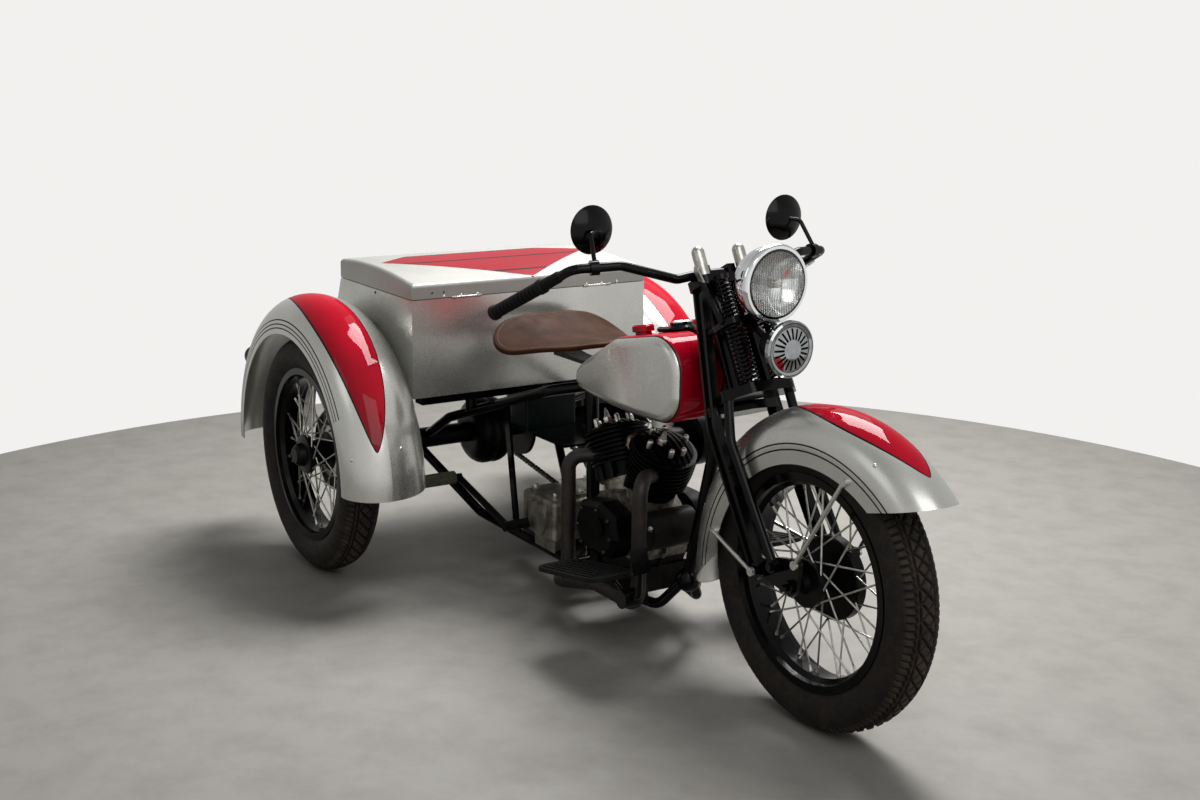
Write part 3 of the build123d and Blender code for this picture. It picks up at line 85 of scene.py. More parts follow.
def add(tree, kind, *values, out=0, inputs=None, **settings):
    # one shader node: values fill its sockets in order, inputs by key; a value that is a socket is linked
    node = tree.nodes.new("ShaderNode" + kind)
    for key, value in settings.items():
        setattr(node, key, value)
    for key, value in [*enumerate(values), *(inputs or {}).items()]:
        if isinstance(value, bpy.types.NodeSocket):
            tree.links.new(value, node.inputs[key])
        else:
            node.inputs[key].default_value = value
    return node.outputs[out]


# settings of a Mix node that mixes colours: its inputs are 0 for the share, 6 and 7 for the colours
colours = {"out": 2, "data_type": "RGBA"}


def newMaterial(name, **shader):
    material = bpy.data.materials.new(name)
    material.use_nodes = True
    bsdf = material.node_tree.nodes["Principled BSDF"]
    for key, value in shader.items():
        bsdf.inputs[key.replace("_", " ")].default_value = value
    return material, material.node_tree, bsdf


def wearOf(tree, grain, detail=4.0, low=0.3, high=0.7, least=0.0, most=1.0):
    # noise in object space with a grain in millimetres, spread from low and high to least and most
    spot = add(tree, "TexCoord", out="Object")
    noise = add(tree, "TexNoise", spot, inputs={"Scale": 1000 / grain, "Detail": detail, "Roughness": 0.6})
    return add(tree, "MapRange", noise, low, high, least, most)


def dressed(name, rough, grain, bump, tones, patch, **shader):
    # a finish whose gloss drifts at one grain and whose colour wanders between two tones over larger patches
    material, tree, bsdf = newMaterial(name, **shader)
    tree.links.new(wearOf(tree, grain, least=rough[0], most=rough[1]), bsdf.inputs["Roughness"])
    share = wearOf(tree, patch, 6.0, 0.42, 0.72)
    tone = add(tree, "Mix", inputs={0: share, 6: hexLinear(tones[0]), 7: hexLinear(tones[1])}, **colours)
    tree.links.new(tone, bsdf.inputs["Base Color"])
    if bump:
        height = wearOf(tree, grain)
        raised = add(tree, "Bump", inputs={"Strength": bump, "Distance": 0.0006, "Height": height})
        tree.links.new(raised, bsdf.inputs["Normal"])
    return material


# camera at the photograph's viewpoint, worked out from wheel and box points in a 1200 x 800 frame
cameraSpot = {"station": 3.96517, "side": -2.12196, "height": 1.47555, "yaw": 147.43, "pitch": 13.15,
              "roll": -0.65, "focalPixels": 1531.66, "frameWide": 1200, "sensor": 36}


def makeCamera(c):
    yaw, pitch, roll = (math.radians(c[k]) for k in ("yaw", "pitch", "roll"))
    level = math.cos(pitch)
    forward = Vector((level * math.cos(yaw), level * math.sin(yaw), -math.sin(pitch)))
    right = forward.cross(Vector((0, 0, 1))).normalized()
    down = forward.cross(right)
    turnedRight = right * math.cos(roll) + down * math.sin(roll)
    turnedDown = down * math.cos(roll) - right * math.sin(roll)
    data = bpy.data.cameras.new("camera")
    data.sensor_width = c["sensor"]
    data.lens = c["focalPixels"] / c["frameWide"] * c["sensor"]
    camera = bpy.data.objects.new("camera", data)
    bpy.context.collection.objects.link(camera)
    axes = Matrix((turnedRight, -turnedDown, -forward)).transposed().to_4x4()
    axes.translation = (rearX + c["station"], c["side"], c["height"])
    camera.matrix_world = axes
    scene.camera = camera


makeCamera(cameraSpot)

# studio: round concrete floor, white wall low down, dim ceiling; a lamp is its place, size and power
studio = {"floor": ("#9C9993", "#908D87"), "patch": 120, "radius": 2.68, "middle": (0.08, -0.08, 0.0),
          "wall": "#F2F1EF", "wallTop": 0.25, "ceilingFrom": 0.8, "ceiling": 0.7, "diffuseShare": 0.05,
          "aheadFrom": (-0.3, 0.9), "aheadShare": (0.62, 1.1), "aim": (0, 0, 0.5),
          "lamps": {"ahead": ((3.4, -1.0, 3.3), 2.8, 56), "above": ((-0.9, 1.15, 3.4), 1.8, 195),
                    "right": ((-0.6, -4.2, 3.0), 1.8, 8), "behind": ((-2.1, 2.1, 3.0), 2.0, 12)}}


def makeStudio(c):
    disc = {"vertices": 256, "radius": c["radius"], "location": c["middle"], "fill_type": "NGON"}
    bpy.ops.mesh.primitive_circle_add(**disc)
    floor = bpy.context.object
    floor.name = "floor"
    concrete = dressed("trowelled concrete", (0.55, 0.75), 160, 0.1, c["floor"], c["patch"])
    floor.data.materials.append(concrete)
    # the wall is white to the camera; mirrors see it brighter ahead than behind, dull surfaces a small share
    scene.world = bpy.data.worlds.new("studio")
    scene.world.use_nodes = True
    tree = scene.world.node_tree
    way = add(tree, "TexCoord", out="Generated")
    height = add(tree, "SeparateXYZ", way, out="Z")
    level = add(tree, "MapRange", height, c["wallTop"], c["ceilingFrom"], 1.0, c["ceiling"])
    ahead = add(tree, "MapRange", add(tree, "SeparateXYZ", way, out="X"), *c["aheadFrom"], *c["aheadShare"])
    rays = [add(tree, "LightPath", out=ray) for ray in ("Is Glossy Ray", "Is Transmission Ray")]
    mirrored = add(tree, "Math", *rays, operation="MAXIMUM")
    dull = add(tree, "MapRange", mirrored, 0.0, 1.0, c["diffuseShare"], 1.0)
    lit = add(tree, "Math", ahead, dull, operation="MULTIPLY")
    share = add(tree, "MapRange", add(tree, "LightPath", out="Is Camera Ray"), 0.0, 1.0, lit, 1.0)
    background = tree.nodes["Background"]
    background.inputs["Color"].default_value = hexLinear(c["wall"])
    tree.links.new(add(tree, "Math", level, share, operation="MULTIPLY"), background.inputs["Strength"])
    for name, (place, size, power) in c["lamps"].items():
        lamp = bpy.data.lights.new(name, "AREA")
        lamp.energy, lamp.size = power, size
        thing = bpy.data.objects.new(name, lamp)
        thing.location = place
        thing.rotation_euler = (Vector(c["aim"]) - Vector(place)).to_track_quat("-Z", "Y").to_euler()
        bpy.context.collection.objects.link(thing)


makeStudio(studio)
print("camera and studio ready")

# plain finishes: roughness from and to, grain in millimetres, bump, two tones, patch of tone in millimetres
finish = {}
# stoved enamel over steel tube: near black, sharp highlights, a little dulled by handling
finish["blackEnamel"] = dressed("gloss black enamel", (0.1, 0.24), 45, 0, ("#060607", "#0C0C0C"), 60,
                                Specular_IOR_Level=0.14)
# black paint on cast iron: rough from the mould, greyed by heat
finish["blackIron"] = dressed("black painted cast iron", (0.24, 0.42), 2.5, 0.3, ("#060606", "#0E0D0C"), 35,
                              Specular_IOR_Level=0.07)
# sand-cast aluminium: grey metal with a grainy skin and brown oil stains
finish["castAluminium"] = dressed("sand cast aluminium", (0.36, 0.6), 2.2, 0.5, ("#9A968C", "#4A433A"), 42,
                                  Metallic=0.8)
# chrome plate: a mirror with a faint cool tone
finish["chrome"] = dressed("chrome plate", (0.04, 0.1), 60, 0, ("#E2E4E6", "#CFD1D3"), 90, Metallic=1.0)
# zinc plated steel: satin metal of spoke nipples, nuts and bolts, dull in patches
finish["zincSteel"] = dressed("zinc plated steel", (0.22, 0.42), 12, 0.1, ("#C4C3BE", "#8C887E"), 25,
                              Metallic=0.95)
# oiled steel of chain and shafts: dark with a dull shine
finish["oiledSteel"] = dressed("oiled steel", (0.3, 0.5), 8, 0.2, ("#32302E", "#181614"), 20, Metallic=0.8)
# exhaust tube browned by heat, with a thin film of rust
finish["burntSteel"] = dressed("heat browned steel", (0.42, 0.64), 6, 0.25, ("#1E1A19", "#352A25"), 40,
                               Metallic=0.4)
# moulded rubber of grips and boards: dark, matt, slightly worn
finish["mouldedRubber"] = dressed("moulded rubber", (0.45, 0.68), 5, 0.2, ("#090909", "#131211"), 30,
                                  Specular_IOR_Level=0.12)
# moulded phenolic resin of the battery case: dark teal with a soft shine
finish["phenolicResin"] = dressed("moulded phenolic resin", (0.3, 0.48), 10, 0.1, ("#071715", "#040A0A"), 50,
                                  Specular_IOR_Level=0.12)
# glazed porcelain of the spark plugs
finish["porcelain"] = dressed("glazed porcelain", (0.12, 0.22), 8, 0, ("#D9D5C9", "#C2BCAC"), 9, IOR=1.5)
# turned brass of the intake nuts, greyed by heat
finish["brass"] = dressed("greyed brass", (0.3, 0.48), 9, 0.15, ("#A0957F", "#61584A"), 22, Metallic=0.9)
# silvered mirror glass
finish["mirrorGlass"] = dressed("silvered mirror glass", (0.01, 0.03), 80, 0, ("#DDE3E6", "#CDD3D6"), 90,
                                Metallic=1.0)
# cream enamel of the dial face, faintly yellowed
finish["dialEnamel"] = dressed("cream dial enamel", (0.25, 0.4), 6, 0, ("#D9D2BC", "#B9AE92"), 12, IOR=1.5)
# waxed linen thread, pale against the hide
finish["thread"] = dressed("waxed linen thread", (0.5, 0.7), 1.5, 0.2, ("#8A6F55", "#5E4836"), 10)
# pressed clear glass of the lamp
finish["clearGlass"] = dressed("pressed clear glass", (0.02, 0.05), 30, 0, ("#FFFFFF", "#FAFBFB"), 60,
                               IOR=1.45, Transmission_Weight=1.0)
print("plain finishes:", len(finish))


def spotFrom(tree, centre):
    # X, Y and Z in object space, measured from a centre
    moved = add(tree, "Mapping", add(tree, "TexCoord", out="Object"), tuple(-float(c) for c in centre))
    return [add(tree, "SeparateXYZ", moved, out=axis) for axis in "XYZ"]


def radiusOf(tree, first, second):
    # distance from an axis, out of the two coordinates square to it
    return add(tree, "VectorMath", add(tree, "CombineXYZ", first, second), out="Value", operation="LENGTH")


# two-tone lacquer: silver with fine metal flake under a thin clear coat, red fields and black lines by masks
paint = {"silver": ("#CFCFCA", "#BDBDB8"), "red": ("#B80A25", "#A60821"), "line": "#0C0C0D", "flake": 0.9,
         "patch": 220, "metal": 0.8, "coat": 0.35, "haze": 0.02, "rough": (0.24, 0.3)}


def lacquer(name, masks=None, c=paint):
    # with no masks the lacquer is silver all over
    material, tree, bsdf = newMaterial(name, Metallic=c["metal"], Coat_Weight=c["coat"],
                                       Coat_Roughness=c["haze"], Specular_IOR_Level=0.0)
    drift = wearOf(tree, c["patch"])

    def toned(key):
        first, second = (hexLinear(tone) for tone in c[key])
        return add(tree, "Mix", inputs={0: drift, 6: first, 7: second}, **colours)

    colour = toned("silver")
    if masks:
        red, line = masks(tree)
        colour = add(tree, "Mix", inputs={0: red, 6: colour, 7: toned("red")}, **colours)
        colour = add(tree, "Mix", inputs={0: line, 6: colour, 7: hexLinear(c["line"])}, **colours)
        plain = add(tree, "Math", red, line, operation="MAXIMUM")
        tree.links.new(add(tree, "MapRange", plain, 0.0, 1.0, c["metal"], 0.0), bsdf.inputs["Metallic"])
    tree.links.new(colour, bsdf.inputs["Base Color"])
    least, most = c["rough"]
    tree.links.new(wearOf(tree, c["flake"], 1.0, least=least, most=most), bsdf.inputs["Roughness"])
    return material


# fenders: angles round the fender's centre in degrees, lengths in metres
frontFender = {"centre": (frontX + 0.046, 0, axleZ - 0.054), "leafMiddle": 82.0, "leafHalf": 28.0,
               "leafWide": 0.053, "leafSide": 0.0, "leafDrift": 0.0, "pins": (0.3615, 0.3745),
               "pinSide": 0.07, "pinFrom": -60.0}
rearFender = {"centre": (rearX - 0.035, 0, axleZ - 0.034), "leafMiddle": 64.0, "leafHalf": 48.0,
              "leafWide": 0.060, "leafSide": 0.526, "leafDrift": 0.015, "pins": (0.388, 0.399, 0.411),
              "pinSide": 0.55, "pinFrom": 30.0}
leafLine = {"edge": 0.0016, "pin": 0.0018, "blunt": 0.77}


def fenderMasks(c, line=leafLine):
    # red leaf: distance from its middle line < width x (1 - share^2)^blunt, share being the angle from its
    # middle over its half angle; ahead of the middle the line drifts outward with share^2; pinstripes are
    # rings of fixed radius
    def masks(tree):
        x, y, z = spotFrom(tree, c["centre"])
        angle = add(tree, "Math", z, x, operation="ARCTAN2")
        middle, half = math.radians(c["leafMiddle"]), math.radians(c["leafHalf"])
        share = add(tree, "MapRange", angle, middle, middle + half, 0.0, 1.0, clamp=False)
        square = add(tree, "Math", share, share, operation="MULTIPLY")
        rest = add(tree, "Math", 1.0, square, operation="SUBTRACT", use_clamp=True)
        taper = add(tree, "Math", rest, line["blunt"], operation="POWER")
        wide = add(tree, "Math", taper, c["leafWide"], operation="MULTIPLY")
        forward = add(tree, "Math", share, 0.0, operation="LESS_THAN")
        bend = add(tree, "Math", square, forward, operation="MULTIPLY")
        drift = add(tree, "Math", bend, c["leafDrift"], c["leafSide"], operation="MULTIPLY_ADD")
        side = add(tree, "Math", y, operation="ABSOLUTE")
        away = add(tree, "Math", add(tree, "Math", side, drift, operation="SUBTRACT"), operation="ABSOLUTE")
        over = add(tree, "Math", away, wide, operation="SUBTRACT")
        red = add(tree, "Math", over, 0.0, operation="LESS_THAN")
        inside = add(tree, "Math", rest, 0.0, operation="GREATER_THAN")
        edge = add(tree, "Math", over, 0.0, line["edge"], operation="COMPARE")
        total = add(tree, "Math", edge, inside, operation="MULTIPLY")
        outside = add(tree, "Math", side, c["pinSide"], operation="GREATER_THAN")
        above = add(tree, "Math", angle, math.radians(c["pinFrom"]), operation="GREATER_THAN")
        kept = add(tree, "Math", outside, above, operation="MULTIPLY")
        radius = radiusOf(tree, x, z)
        for pin in c["pins"]:
            near = add(tree, "Math", radius, pin, line["pin"], operation="COMPARE")
            stripe = add(tree, "Math", near, kept, operation="MULTIPLY")
            total = add(tree, "Math", total, stripe, operation="MAXIMUM")
        return red, total
    return masks


# lid: stations and half widths in millimetres, line widths in metres
lidPaint = {"rear": -85, "rearHalf": 215, "spread": 1.2, "tip": 290, "slope": 1.22, "line": 0.0022,
            "lip": 282, "bands": (-80, 55, 218), "bandLine": 0.013}


def lidMasks(tree, c=lidPaint):
    # red field from a line across the lid, widening forward, then closing to a point at the front edge, with
    # dark bands across it
    x, y, z = spotFrom(tree, at(0, 0, 0))
    side = add(tree, "Math", y, operation="ABSOLUTE")
    start = (c["rearHalf"] - c["rear"] * c["spread"]) / 1000
    widen = add(tree, "Math", x, c["spread"], start, operation="MULTIPLY_ADD")
    close = add(tree, "Math", x, -c["slope"], c["slope"] * c["tip"] / 1000, operation="MULTIPLY_ADD")
    half = add(tree, "Math", widen, close, operation="MINIMUM")
    over = add(tree, "Math", side, half, operation="SUBTRACT")
    behind = add(tree, "Math", c["rear"] / 1000, x, operation="SUBTRACT")
    edge = add(tree, "Math", over, behind, operation="MAXIMUM")
    red = add(tree, "Math", edge, 0.0, operation="LESS_THAN")
    outline = add(tree, "Math", edge, 0.0, c["line"] / 2, operation="COMPARE")
    onTop = add(tree, "Math", x, c["lip"] / 1000, operation="LESS_THAN")
    total = add(tree, "Math", outline, onTop, operation="MULTIPLY")
    for band in c["bands"]:
        near = add(tree, "Math", x, band / 1000, c["bandLine"] / 2, operation="COMPARE")
        stripe = add(tree, "Math", near, red, operation="MULTIPLY")
        total = add(tree, "Math", total, stripe, operation="MAXIMUM")
    return red, total


# tank: stations and half widths in millimetres, the panel's margin and line in metres
tankPaint = {"stations": (671, 973, 1158), "sides": (100, 130, 116), "margin": 0.0125, "line": 0.0016}


def tankMasks(tree, c=tankPaint):
    # silver side panel: within a margin of the bowed side, whose half width is a parabola along the tank
    x, y, z = spotFrom(tree, at(0, 0, 0))
    bow = np.polyfit(np.array(c["stations"]) / 1000, np.array(c["sides"]) / 1000, 2)
    square, slope, start = (float(v) for v in bow)
    rising = add(tree, "Math", x, square, slope, operation="MULTIPLY_ADD")
    outer = add(tree, "Math", x, rising, start, operation="MULTIPLY_ADD")
    depth = add(tree, "Math", outer, add(tree, "Math", y, operation="ABSOLUTE"), operation="SUBTRACT")
    return (add(tree, "Math", depth, c["margin"], operation="GREATER_THAN"),
            add(tree, "Math", depth, c["margin"], c["line"], operation="COMPARE"))


# the lid's lacquer has dulled: a hazy coat over a rougher silver; its silver and red are painted darker than
# the other lacquer, as painted shade that tones down the lamp's highlight
dulledShaded = {**paint, "silver": ("#B0B0AA", "#A2A29D"), "red": ("#9A0A20", "#8A081B"), "metal": 0.6,
          "coat": 0.55, "haze": 0.3, "rough": (0.58, 0.66)}
finish["silver"] = lacquer("silver lacquer")
finish["frontPaint"] = lacquer("two-tone lacquer front fender", fenderMasks(frontFender))
finish["rearPaint"] = lacquer("two-tone lacquer rear fenders", fenderMasks(rearFender))
finish["tankPaint"] = lacquer("two-tone lacquer tanks", tankMasks)
finish["lidPaint"] = lacquer("dulled two-tone lacquer lid", lidMasks, dulledShaded)


def parted(name, mask, first, second):
    # one solid of two finishes (tones, metal, roughness), the second where the mask is 1, worn in patches
    material, tree, bsdf = newMaterial(name, Specular_IOR_Level=0.1)
    share, patches = mask(tree), wearOf(tree, 16, 5.0)
    tones = []
    for pale, dark in (first[0], second[0]):
        pair = {0: patches, 6: hexLinear(pale), 7: hexLinear(dark)}
        tones.append(add(tree, "Mix", inputs=pair, **colours))
    colour = add(tree, "Mix", inputs={0: share, 6: tones[0], 7: tones[1]}, **colours)
    tree.links.new(colour, bsdf.inputs["Base Color"])
    for socket, low, high in zip(("Metallic", "Roughness"), first[1:], second[1:]):
        if low == high:
            bsdf.inputs[socket].default_value = low
        else:
            tree.links.new(add(tree, "MapRange", share, 0.0, 1.0, low, high), bsdf.inputs[socket])
    return material


blackPart = (("#0C0C0D", "#171615"), 0.0, 0.32)
brightPart = (("#C6C5BF", "#95928A"), 0.95, 0.3)
# wheels by their centre, tyre and body; hubs by their centre, side, radius and start of the drum, in metres
leftCentre, rightCentre = (at(0, side * wheelSide * 1000, 0) for side in (1, -1))
wheels = {"front": (frontAxle, "front_tyre", "front_wheel"),
          "left": (leftCentre, "rear_tyre_left", "rear_wheel_left"),
          "right": (rightCentre, "rear_tyre_right", "rear_wheel_right")}
hubs = {"frontHub": (frontAxle, 1, 0.097, 0.015), "leftHub": (leftCentre, -1, 0.114, 0.030),
        "rightHub": (rightCentre, 1, 0.114, 0.030)}
hubFlange = 0.0555


def hubMask(centre, side, drum, start):
    # black within the flange, and within the drum's radius on the drum's side; the spokes stay bright
    def mask(tree):
        x, y, z = spotFrom(tree, centre)
        radius = radiusOf(tree, x, z)
        across = add(tree, "Math", y, side, operation="MULTIPLY")
        within = add(tree, "Math", radius, drum, operation="LESS_THAN")
        beside = add(tree, "Math", across, start, operation="GREATER_THAN")
        onDrum = add(tree, "Math", within, beside, operation="MULTIPLY")
        onShell = add(tree, "Math", radius, hubFlange, operation="LESS_THAN")
        return add(tree, "Math", onShell, onDrum, operation="MAXIMUM")
    return mask


for key, facts in hubs.items():
    finish[key] = parted("black drum and zinc spokes " + key, hubMask(*facts), brightPart, blackPart)

# horn: chrome dish, with painted shade down its slots and dark in two turned rings, in metres
hornLook = {"face": perchTop + np.array((0.157, 0, -0.047)), "slotDepth": 0.003, "inside": 0.048,
            "rings": (0.0505, 0.0585), "ringHalf": 0.0009}


def hornMask(tree, c=hornLook):
    x, y, z = spotFrom(tree, c["face"])
    radius = radiusOf(tree, y, z)
    # painted shade: the dish is dark where it lies deeper than the slot depth, down the slots
    deep = add(tree, "Math", x, -c["slotDepth"], operation="LESS_THAN")
    within = add(tree, "Math", radius, c["inside"], operation="LESS_THAN")
    dark = add(tree, "Math", deep, within, operation="MULTIPLY")
    for ring in c["rings"]:
        near = add(tree, "Math", radius, ring, c["ringHalf"], operation="COMPARE")
        dark = add(tree, "Math", dark, near, operation="MAXIMUM")
    return dark


hornChrome, hornSlotShade = (("#A2A4A6", "#86888A"), 1.0, 0.1), (("#161616", "#202020"), 0.5, 0.4)
finish["horn"] = parted("chrome horn with dark slots", hornMask, hornChrome, hornSlotShade)


def lowerThan(axis, limit):
    # 1 where a place in object space is lower than a limit on one axis
    def mask(tree):
        return add(tree, "Math", spotFrom(tree, (0, 0, 0))[axis], float(limit), operation="LESS_THAN")
    return mask


# tail lamps: black shell with a red moulded lens at the back
lensDeep, redLens = 0.012, (("#7A0A10", "#5E080D"), 0.0, 0.12)
lensFront = boxOf("tail_lamps")[0][0] + lensDeep
finish["tailLamp"] = parted("tail lamp shell and red lens", lowerThan(0, lensFront), blackPart, redLens)
# kick starter: black arm, and olive rubber on the pedal, which lies furthest to the right
pedalLong, oliveRubber = 0.12, (("#4A4B42", "#60614F"), 0.0, 0.35)
kickEnd = boxOf("kick_starter")[0][1]
pedal = lowerThan(1, kickEnd + pedalLong)
finish["kick"] = parted("black arm and olive pedal rubber", pedal, blackPart, oliveRubber)
# spring rod caps: bright at the top, with black straps below
capTall = 0.075
strap = lowerThan(2, boxOf("fork_caps")[1][2] - capTall)
finish["forkCap"] = parted("zinc cap and black strap", strap, brightPart, blackPart)

# crankcase: raw aluminium above, black generator ahead, black below the parting of the sump
engine = {"crank": at(835, 0, -84), "lean": 25.0, "generator": at(1000, 0, -29), "generatorRadius": 0.053,
          "generatorAhead": 0.118, "oilBelow": -0.045}
crank = engine["crank"]


def caseMask(tree, c=engine):
    x, y, z = spotFrom(tree, c["crank"])
    gx, gy, gz = spotFrom(tree, c["generator"])
    onGenerator = add(tree, "Math", radiusOf(tree, gx, gz), c["generatorRadius"], operation="LESS_THAN")
    ahead = add(tree, "Math", x, c["generatorAhead"], operation="GREATER_THAN")
    low = add(tree, "Math", z, c["oilBelow"], operation="LESS_THAN")
    black = add(tree, "Math", onGenerator, ahead, operation="MAXIMUM")
    return add(tree, "Math", black, low, operation="MAXIMUM")


caseAluminium, caseBlack = (("#9A968C", "#4A433A"), 0.8, 0.45), (("#0F0F0F", "#1F1C1A"), 0.1, 0.45)
finish["crankcase"] = parted("aluminium case and black generator", caseMask, caseAluminium, caseBlack)
print("two-tone finishes ready:", len(finish))

# which finish each solid takes; the rest is black enamel
wears = {
    "silver": "body_sides body_ends body_floor fender_stays", "frontPaint": "front_fender",
    "rearPaint": "rear_fenders", "lidPaint": "body_lid", "tankPaint": "fuel_tanks",
    "castAluminium": "gearbox", "crankcase": "crankcase",
    "blackIron": "cylinders timing_cover primary_cover carburettor rear_axle",
    "burntSteel": "exhaust", "chrome": "headlamp_shell brake_lever", "forkCap": "fork_caps", "horn": "horn",
    "oiledSteel": "drive_chain saddle_post fork_springs", "mouldedRubber": "grips footboards",
    "phenolicResin": "battery", "clearGlass": "headlamp_lens", "frontHub": "front_hub",
    "leftHub": "rear_hub_left", "rightHub": "rear_hub_right", "tailLamp": "tail_lamps",
    "kick": "kick_starter",
}
worn = {node: key for key, names in wears.items() for node in names.split()}
for name, thing in nodes.items():
    thing.data.materials.clear()
    thing.data.materials.append(finish[worn.get(name, "blackEnamel")])
print("solids dressed:", len(worn), "of", len(nodes), "with their own finish")


sharpFrom = math.radians(40)  # an edge that turns more than this is shaded sharp


def makePiece(name, grid, material, body, replaces=None, closeU=True, closeV=False, grooveShade=None):
    # quads over a grid of two parameters (copies, u, v, xyz); poles are merged, or else a painted shade value
    # is kept for each point
    grid = np.asarray(grid, float)
    grid = grid.reshape((-1,) + grid.shape[-3:])
    copies, nu, nv = grid.shape[:3]
    index = np.arange(nu * nv).reshape(nu, nv)
    index = np.vstack([index, index[:1]]) if closeU else index
    index = np.hstack([index, index[:, :1]]) if closeV else index
    quads = np.stack([index[:-1, :-1], index[1:, :-1], index[1:, 1:], index[:-1, 1:]], -1).reshape(-1, 4)
    faces = (quads[None] + np.arange(copies)[:, None, None] * nu * nv).reshape(-1, 4)
    mesh = bpy.data.meshes.new(name)
    mesh.from_pydata(grid.reshape(-1, 3), [], faces)
    if grooveShade is None:
        work = bmesh.new()
        work.from_mesh(mesh)
        bmesh.ops.remove_doubles(work, verts=work.verts, dist=1e-6)
        bmesh.ops.recalc_face_normals(work, faces=work.faces)
        work.to_mesh(mesh)
        work.free()
    else:
        mesh.attributes.new("grooveShade", "FLOAT", "POINT").data.foreach_set("value", np.ravel(grooveShade))
    mesh.shade_smooth()
    mesh.set_sharp_from_angle(angle=sharpFrom)
    mesh.materials.append(finish[material])
    piece = bpy.data.objects.new(name, mesh)
    bpy.context.collection.objects.link(piece)
    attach(piece, body)
    if replaces:
        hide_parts(replaces)
    return piece


def lathe(profile, steps):
    # radius and height pairs, in metres, spun about local Z: (r cos a, r sin a, h)
    turn = np.linspace(0, 2 * np.pi, steps, endpoint=False)[:, None]
    radius, height = np.array(profile, float).T[:, None]
    return np.stack([radius * np.cos(turn), radius * np.sin(turn), height + 0 * turn], -1)


def placed(grid, origins, axes):
    # copies of a local grid, each with its Z along its axis, at its origin
    origins, axes = np.atleast_2d(origins), np.atleast_2d(axes).astype(float)
    axes = axes / np.linalg.norm(axes, axis=1, keepdims=True)
    helper = np.where(np.abs(axes[:, 2:]) < 0.9, (0.0, 0.0, 1.0), (1.0, 0.0, 0.0))
    first = np.cross(helper, axes)
    first /= np.linalg.norm(first, axis=1, keepdims=True)
    turned = np.stack([first, np.cross(axes, first), axes], 1)
    return np.einsum("uvk,nkc->nuvc", grid, turned) + origins[:, None, None]


def tube(path, radius, sides):
    # a circle carried along a path, square to it, its first direction crossed with the side of the trike
    path = np.asarray(path, float)
    along = np.gradient(path, axis=0)
    along /= np.linalg.norm(along, axis=1, keepdims=True)
    helper = np.where(np.abs(along[:, 1:2]) < 0.9, (0.0, 1.0, 0.0), (1.0, 0.0, 0.0))
    first = np.cross(helper, along)
    first /= np.linalg.norm(first, axis=1, keepdims=True)
    second = np.cross(along, first)
    turn = np.linspace(0, 2 * np.pi, sides, endpoint=False)[None, :, None]
    return path[:, None] + radius * (first[:, None] * np.cos(turn) + second[:, None] * np.sin(turn))


def threePointArc(start, via, end, count):
    # points on the circle through three points, from the first to the last
    (ax, ay), (bx, by), (cx, cy) = start, via, end
    aa, bb, cc = (x**2 + y**2 for x, y in (start, via, end))
    d = 2 * (ax * (by - cy) + bx * (cy - ay) + cx * (ay - by))
    ux = (aa * (by - cy) + bb * (cy - ay) + cc * (ay - by)) / d
    uy = (aa * (cx - bx) + bb * (ax - cx) + cc * (bx - ax)) / d
    first, middle, last = (math.atan2(y - uy, x - ux) for x, y in (start, via, end))
    sweep = (last - first) % (2 * math.pi)
    if (middle - first) % (2 * math.pi) > sweep:
        sweep -= 2 * math.pi
    turn = first + np.linspace(0, 1, count) * sweep
    radius = math.hypot(ax - ux, ay - uy)
    return np.stack([ux + radius * np.cos(turn), uy + radius * np.sin(turn)], -1)


# tyres: section by arcs from bead to bead, tread cut by a height field, in millimetres
tyreLook = {"rows": 960, "wallSteps": 18, "crownSteps": 53, "flange": (246.3, 38.7), "bead": 229.6,
            "widest": (289.5, 56.0), "edge": (322.0, 40.0), "crown": 334.0, "pitchCount": 60, "diamond": 15.0,
            "slant": 0.7, "groove": 2.9, "depth": 6.0, "ribs": (17.5, 28.5), "ribInset": 1.5, "zigzag": 1.6,
            "barFade": 3.0, "shoulder": 47.0, "overShoulder": 6.0, "shoulderFade": 5.0, "wallShade": 0.7}

# vulcanised rubber: near black, matt, brown dust on what touches the ground; painted shade makes the grooves
# and the sidewalls near black
finish["tyreRubber"], tree, bsdf = newMaterial("vulcanised tyre rubber", Specular_IOR_Level=0.25)
dust = {0: wearOf(tree, 38, 6.0, 0.38, 0.7), 6: hexLinear("#272320"), 7: hexLinear("#4E4238")}
# painted shade: the grooves, and the sidewalls at 0.7, are mixed towards near black by the per-point
# attribute
groove = {0: add(tree, "Attribute", out="Fac", attribute_name="grooveShade"),
          6: add(tree, "Mix", inputs=dust, **colours), 7: hexLinear("#070707")}
tree.links.new(add(tree, "Mix", inputs=groove, **colours), bsdf.inputs["Base Color"])
tree.links.new(wearOf(tree, 7, least=0.6, most=0.85), bsdf.inputs["Roughness"])


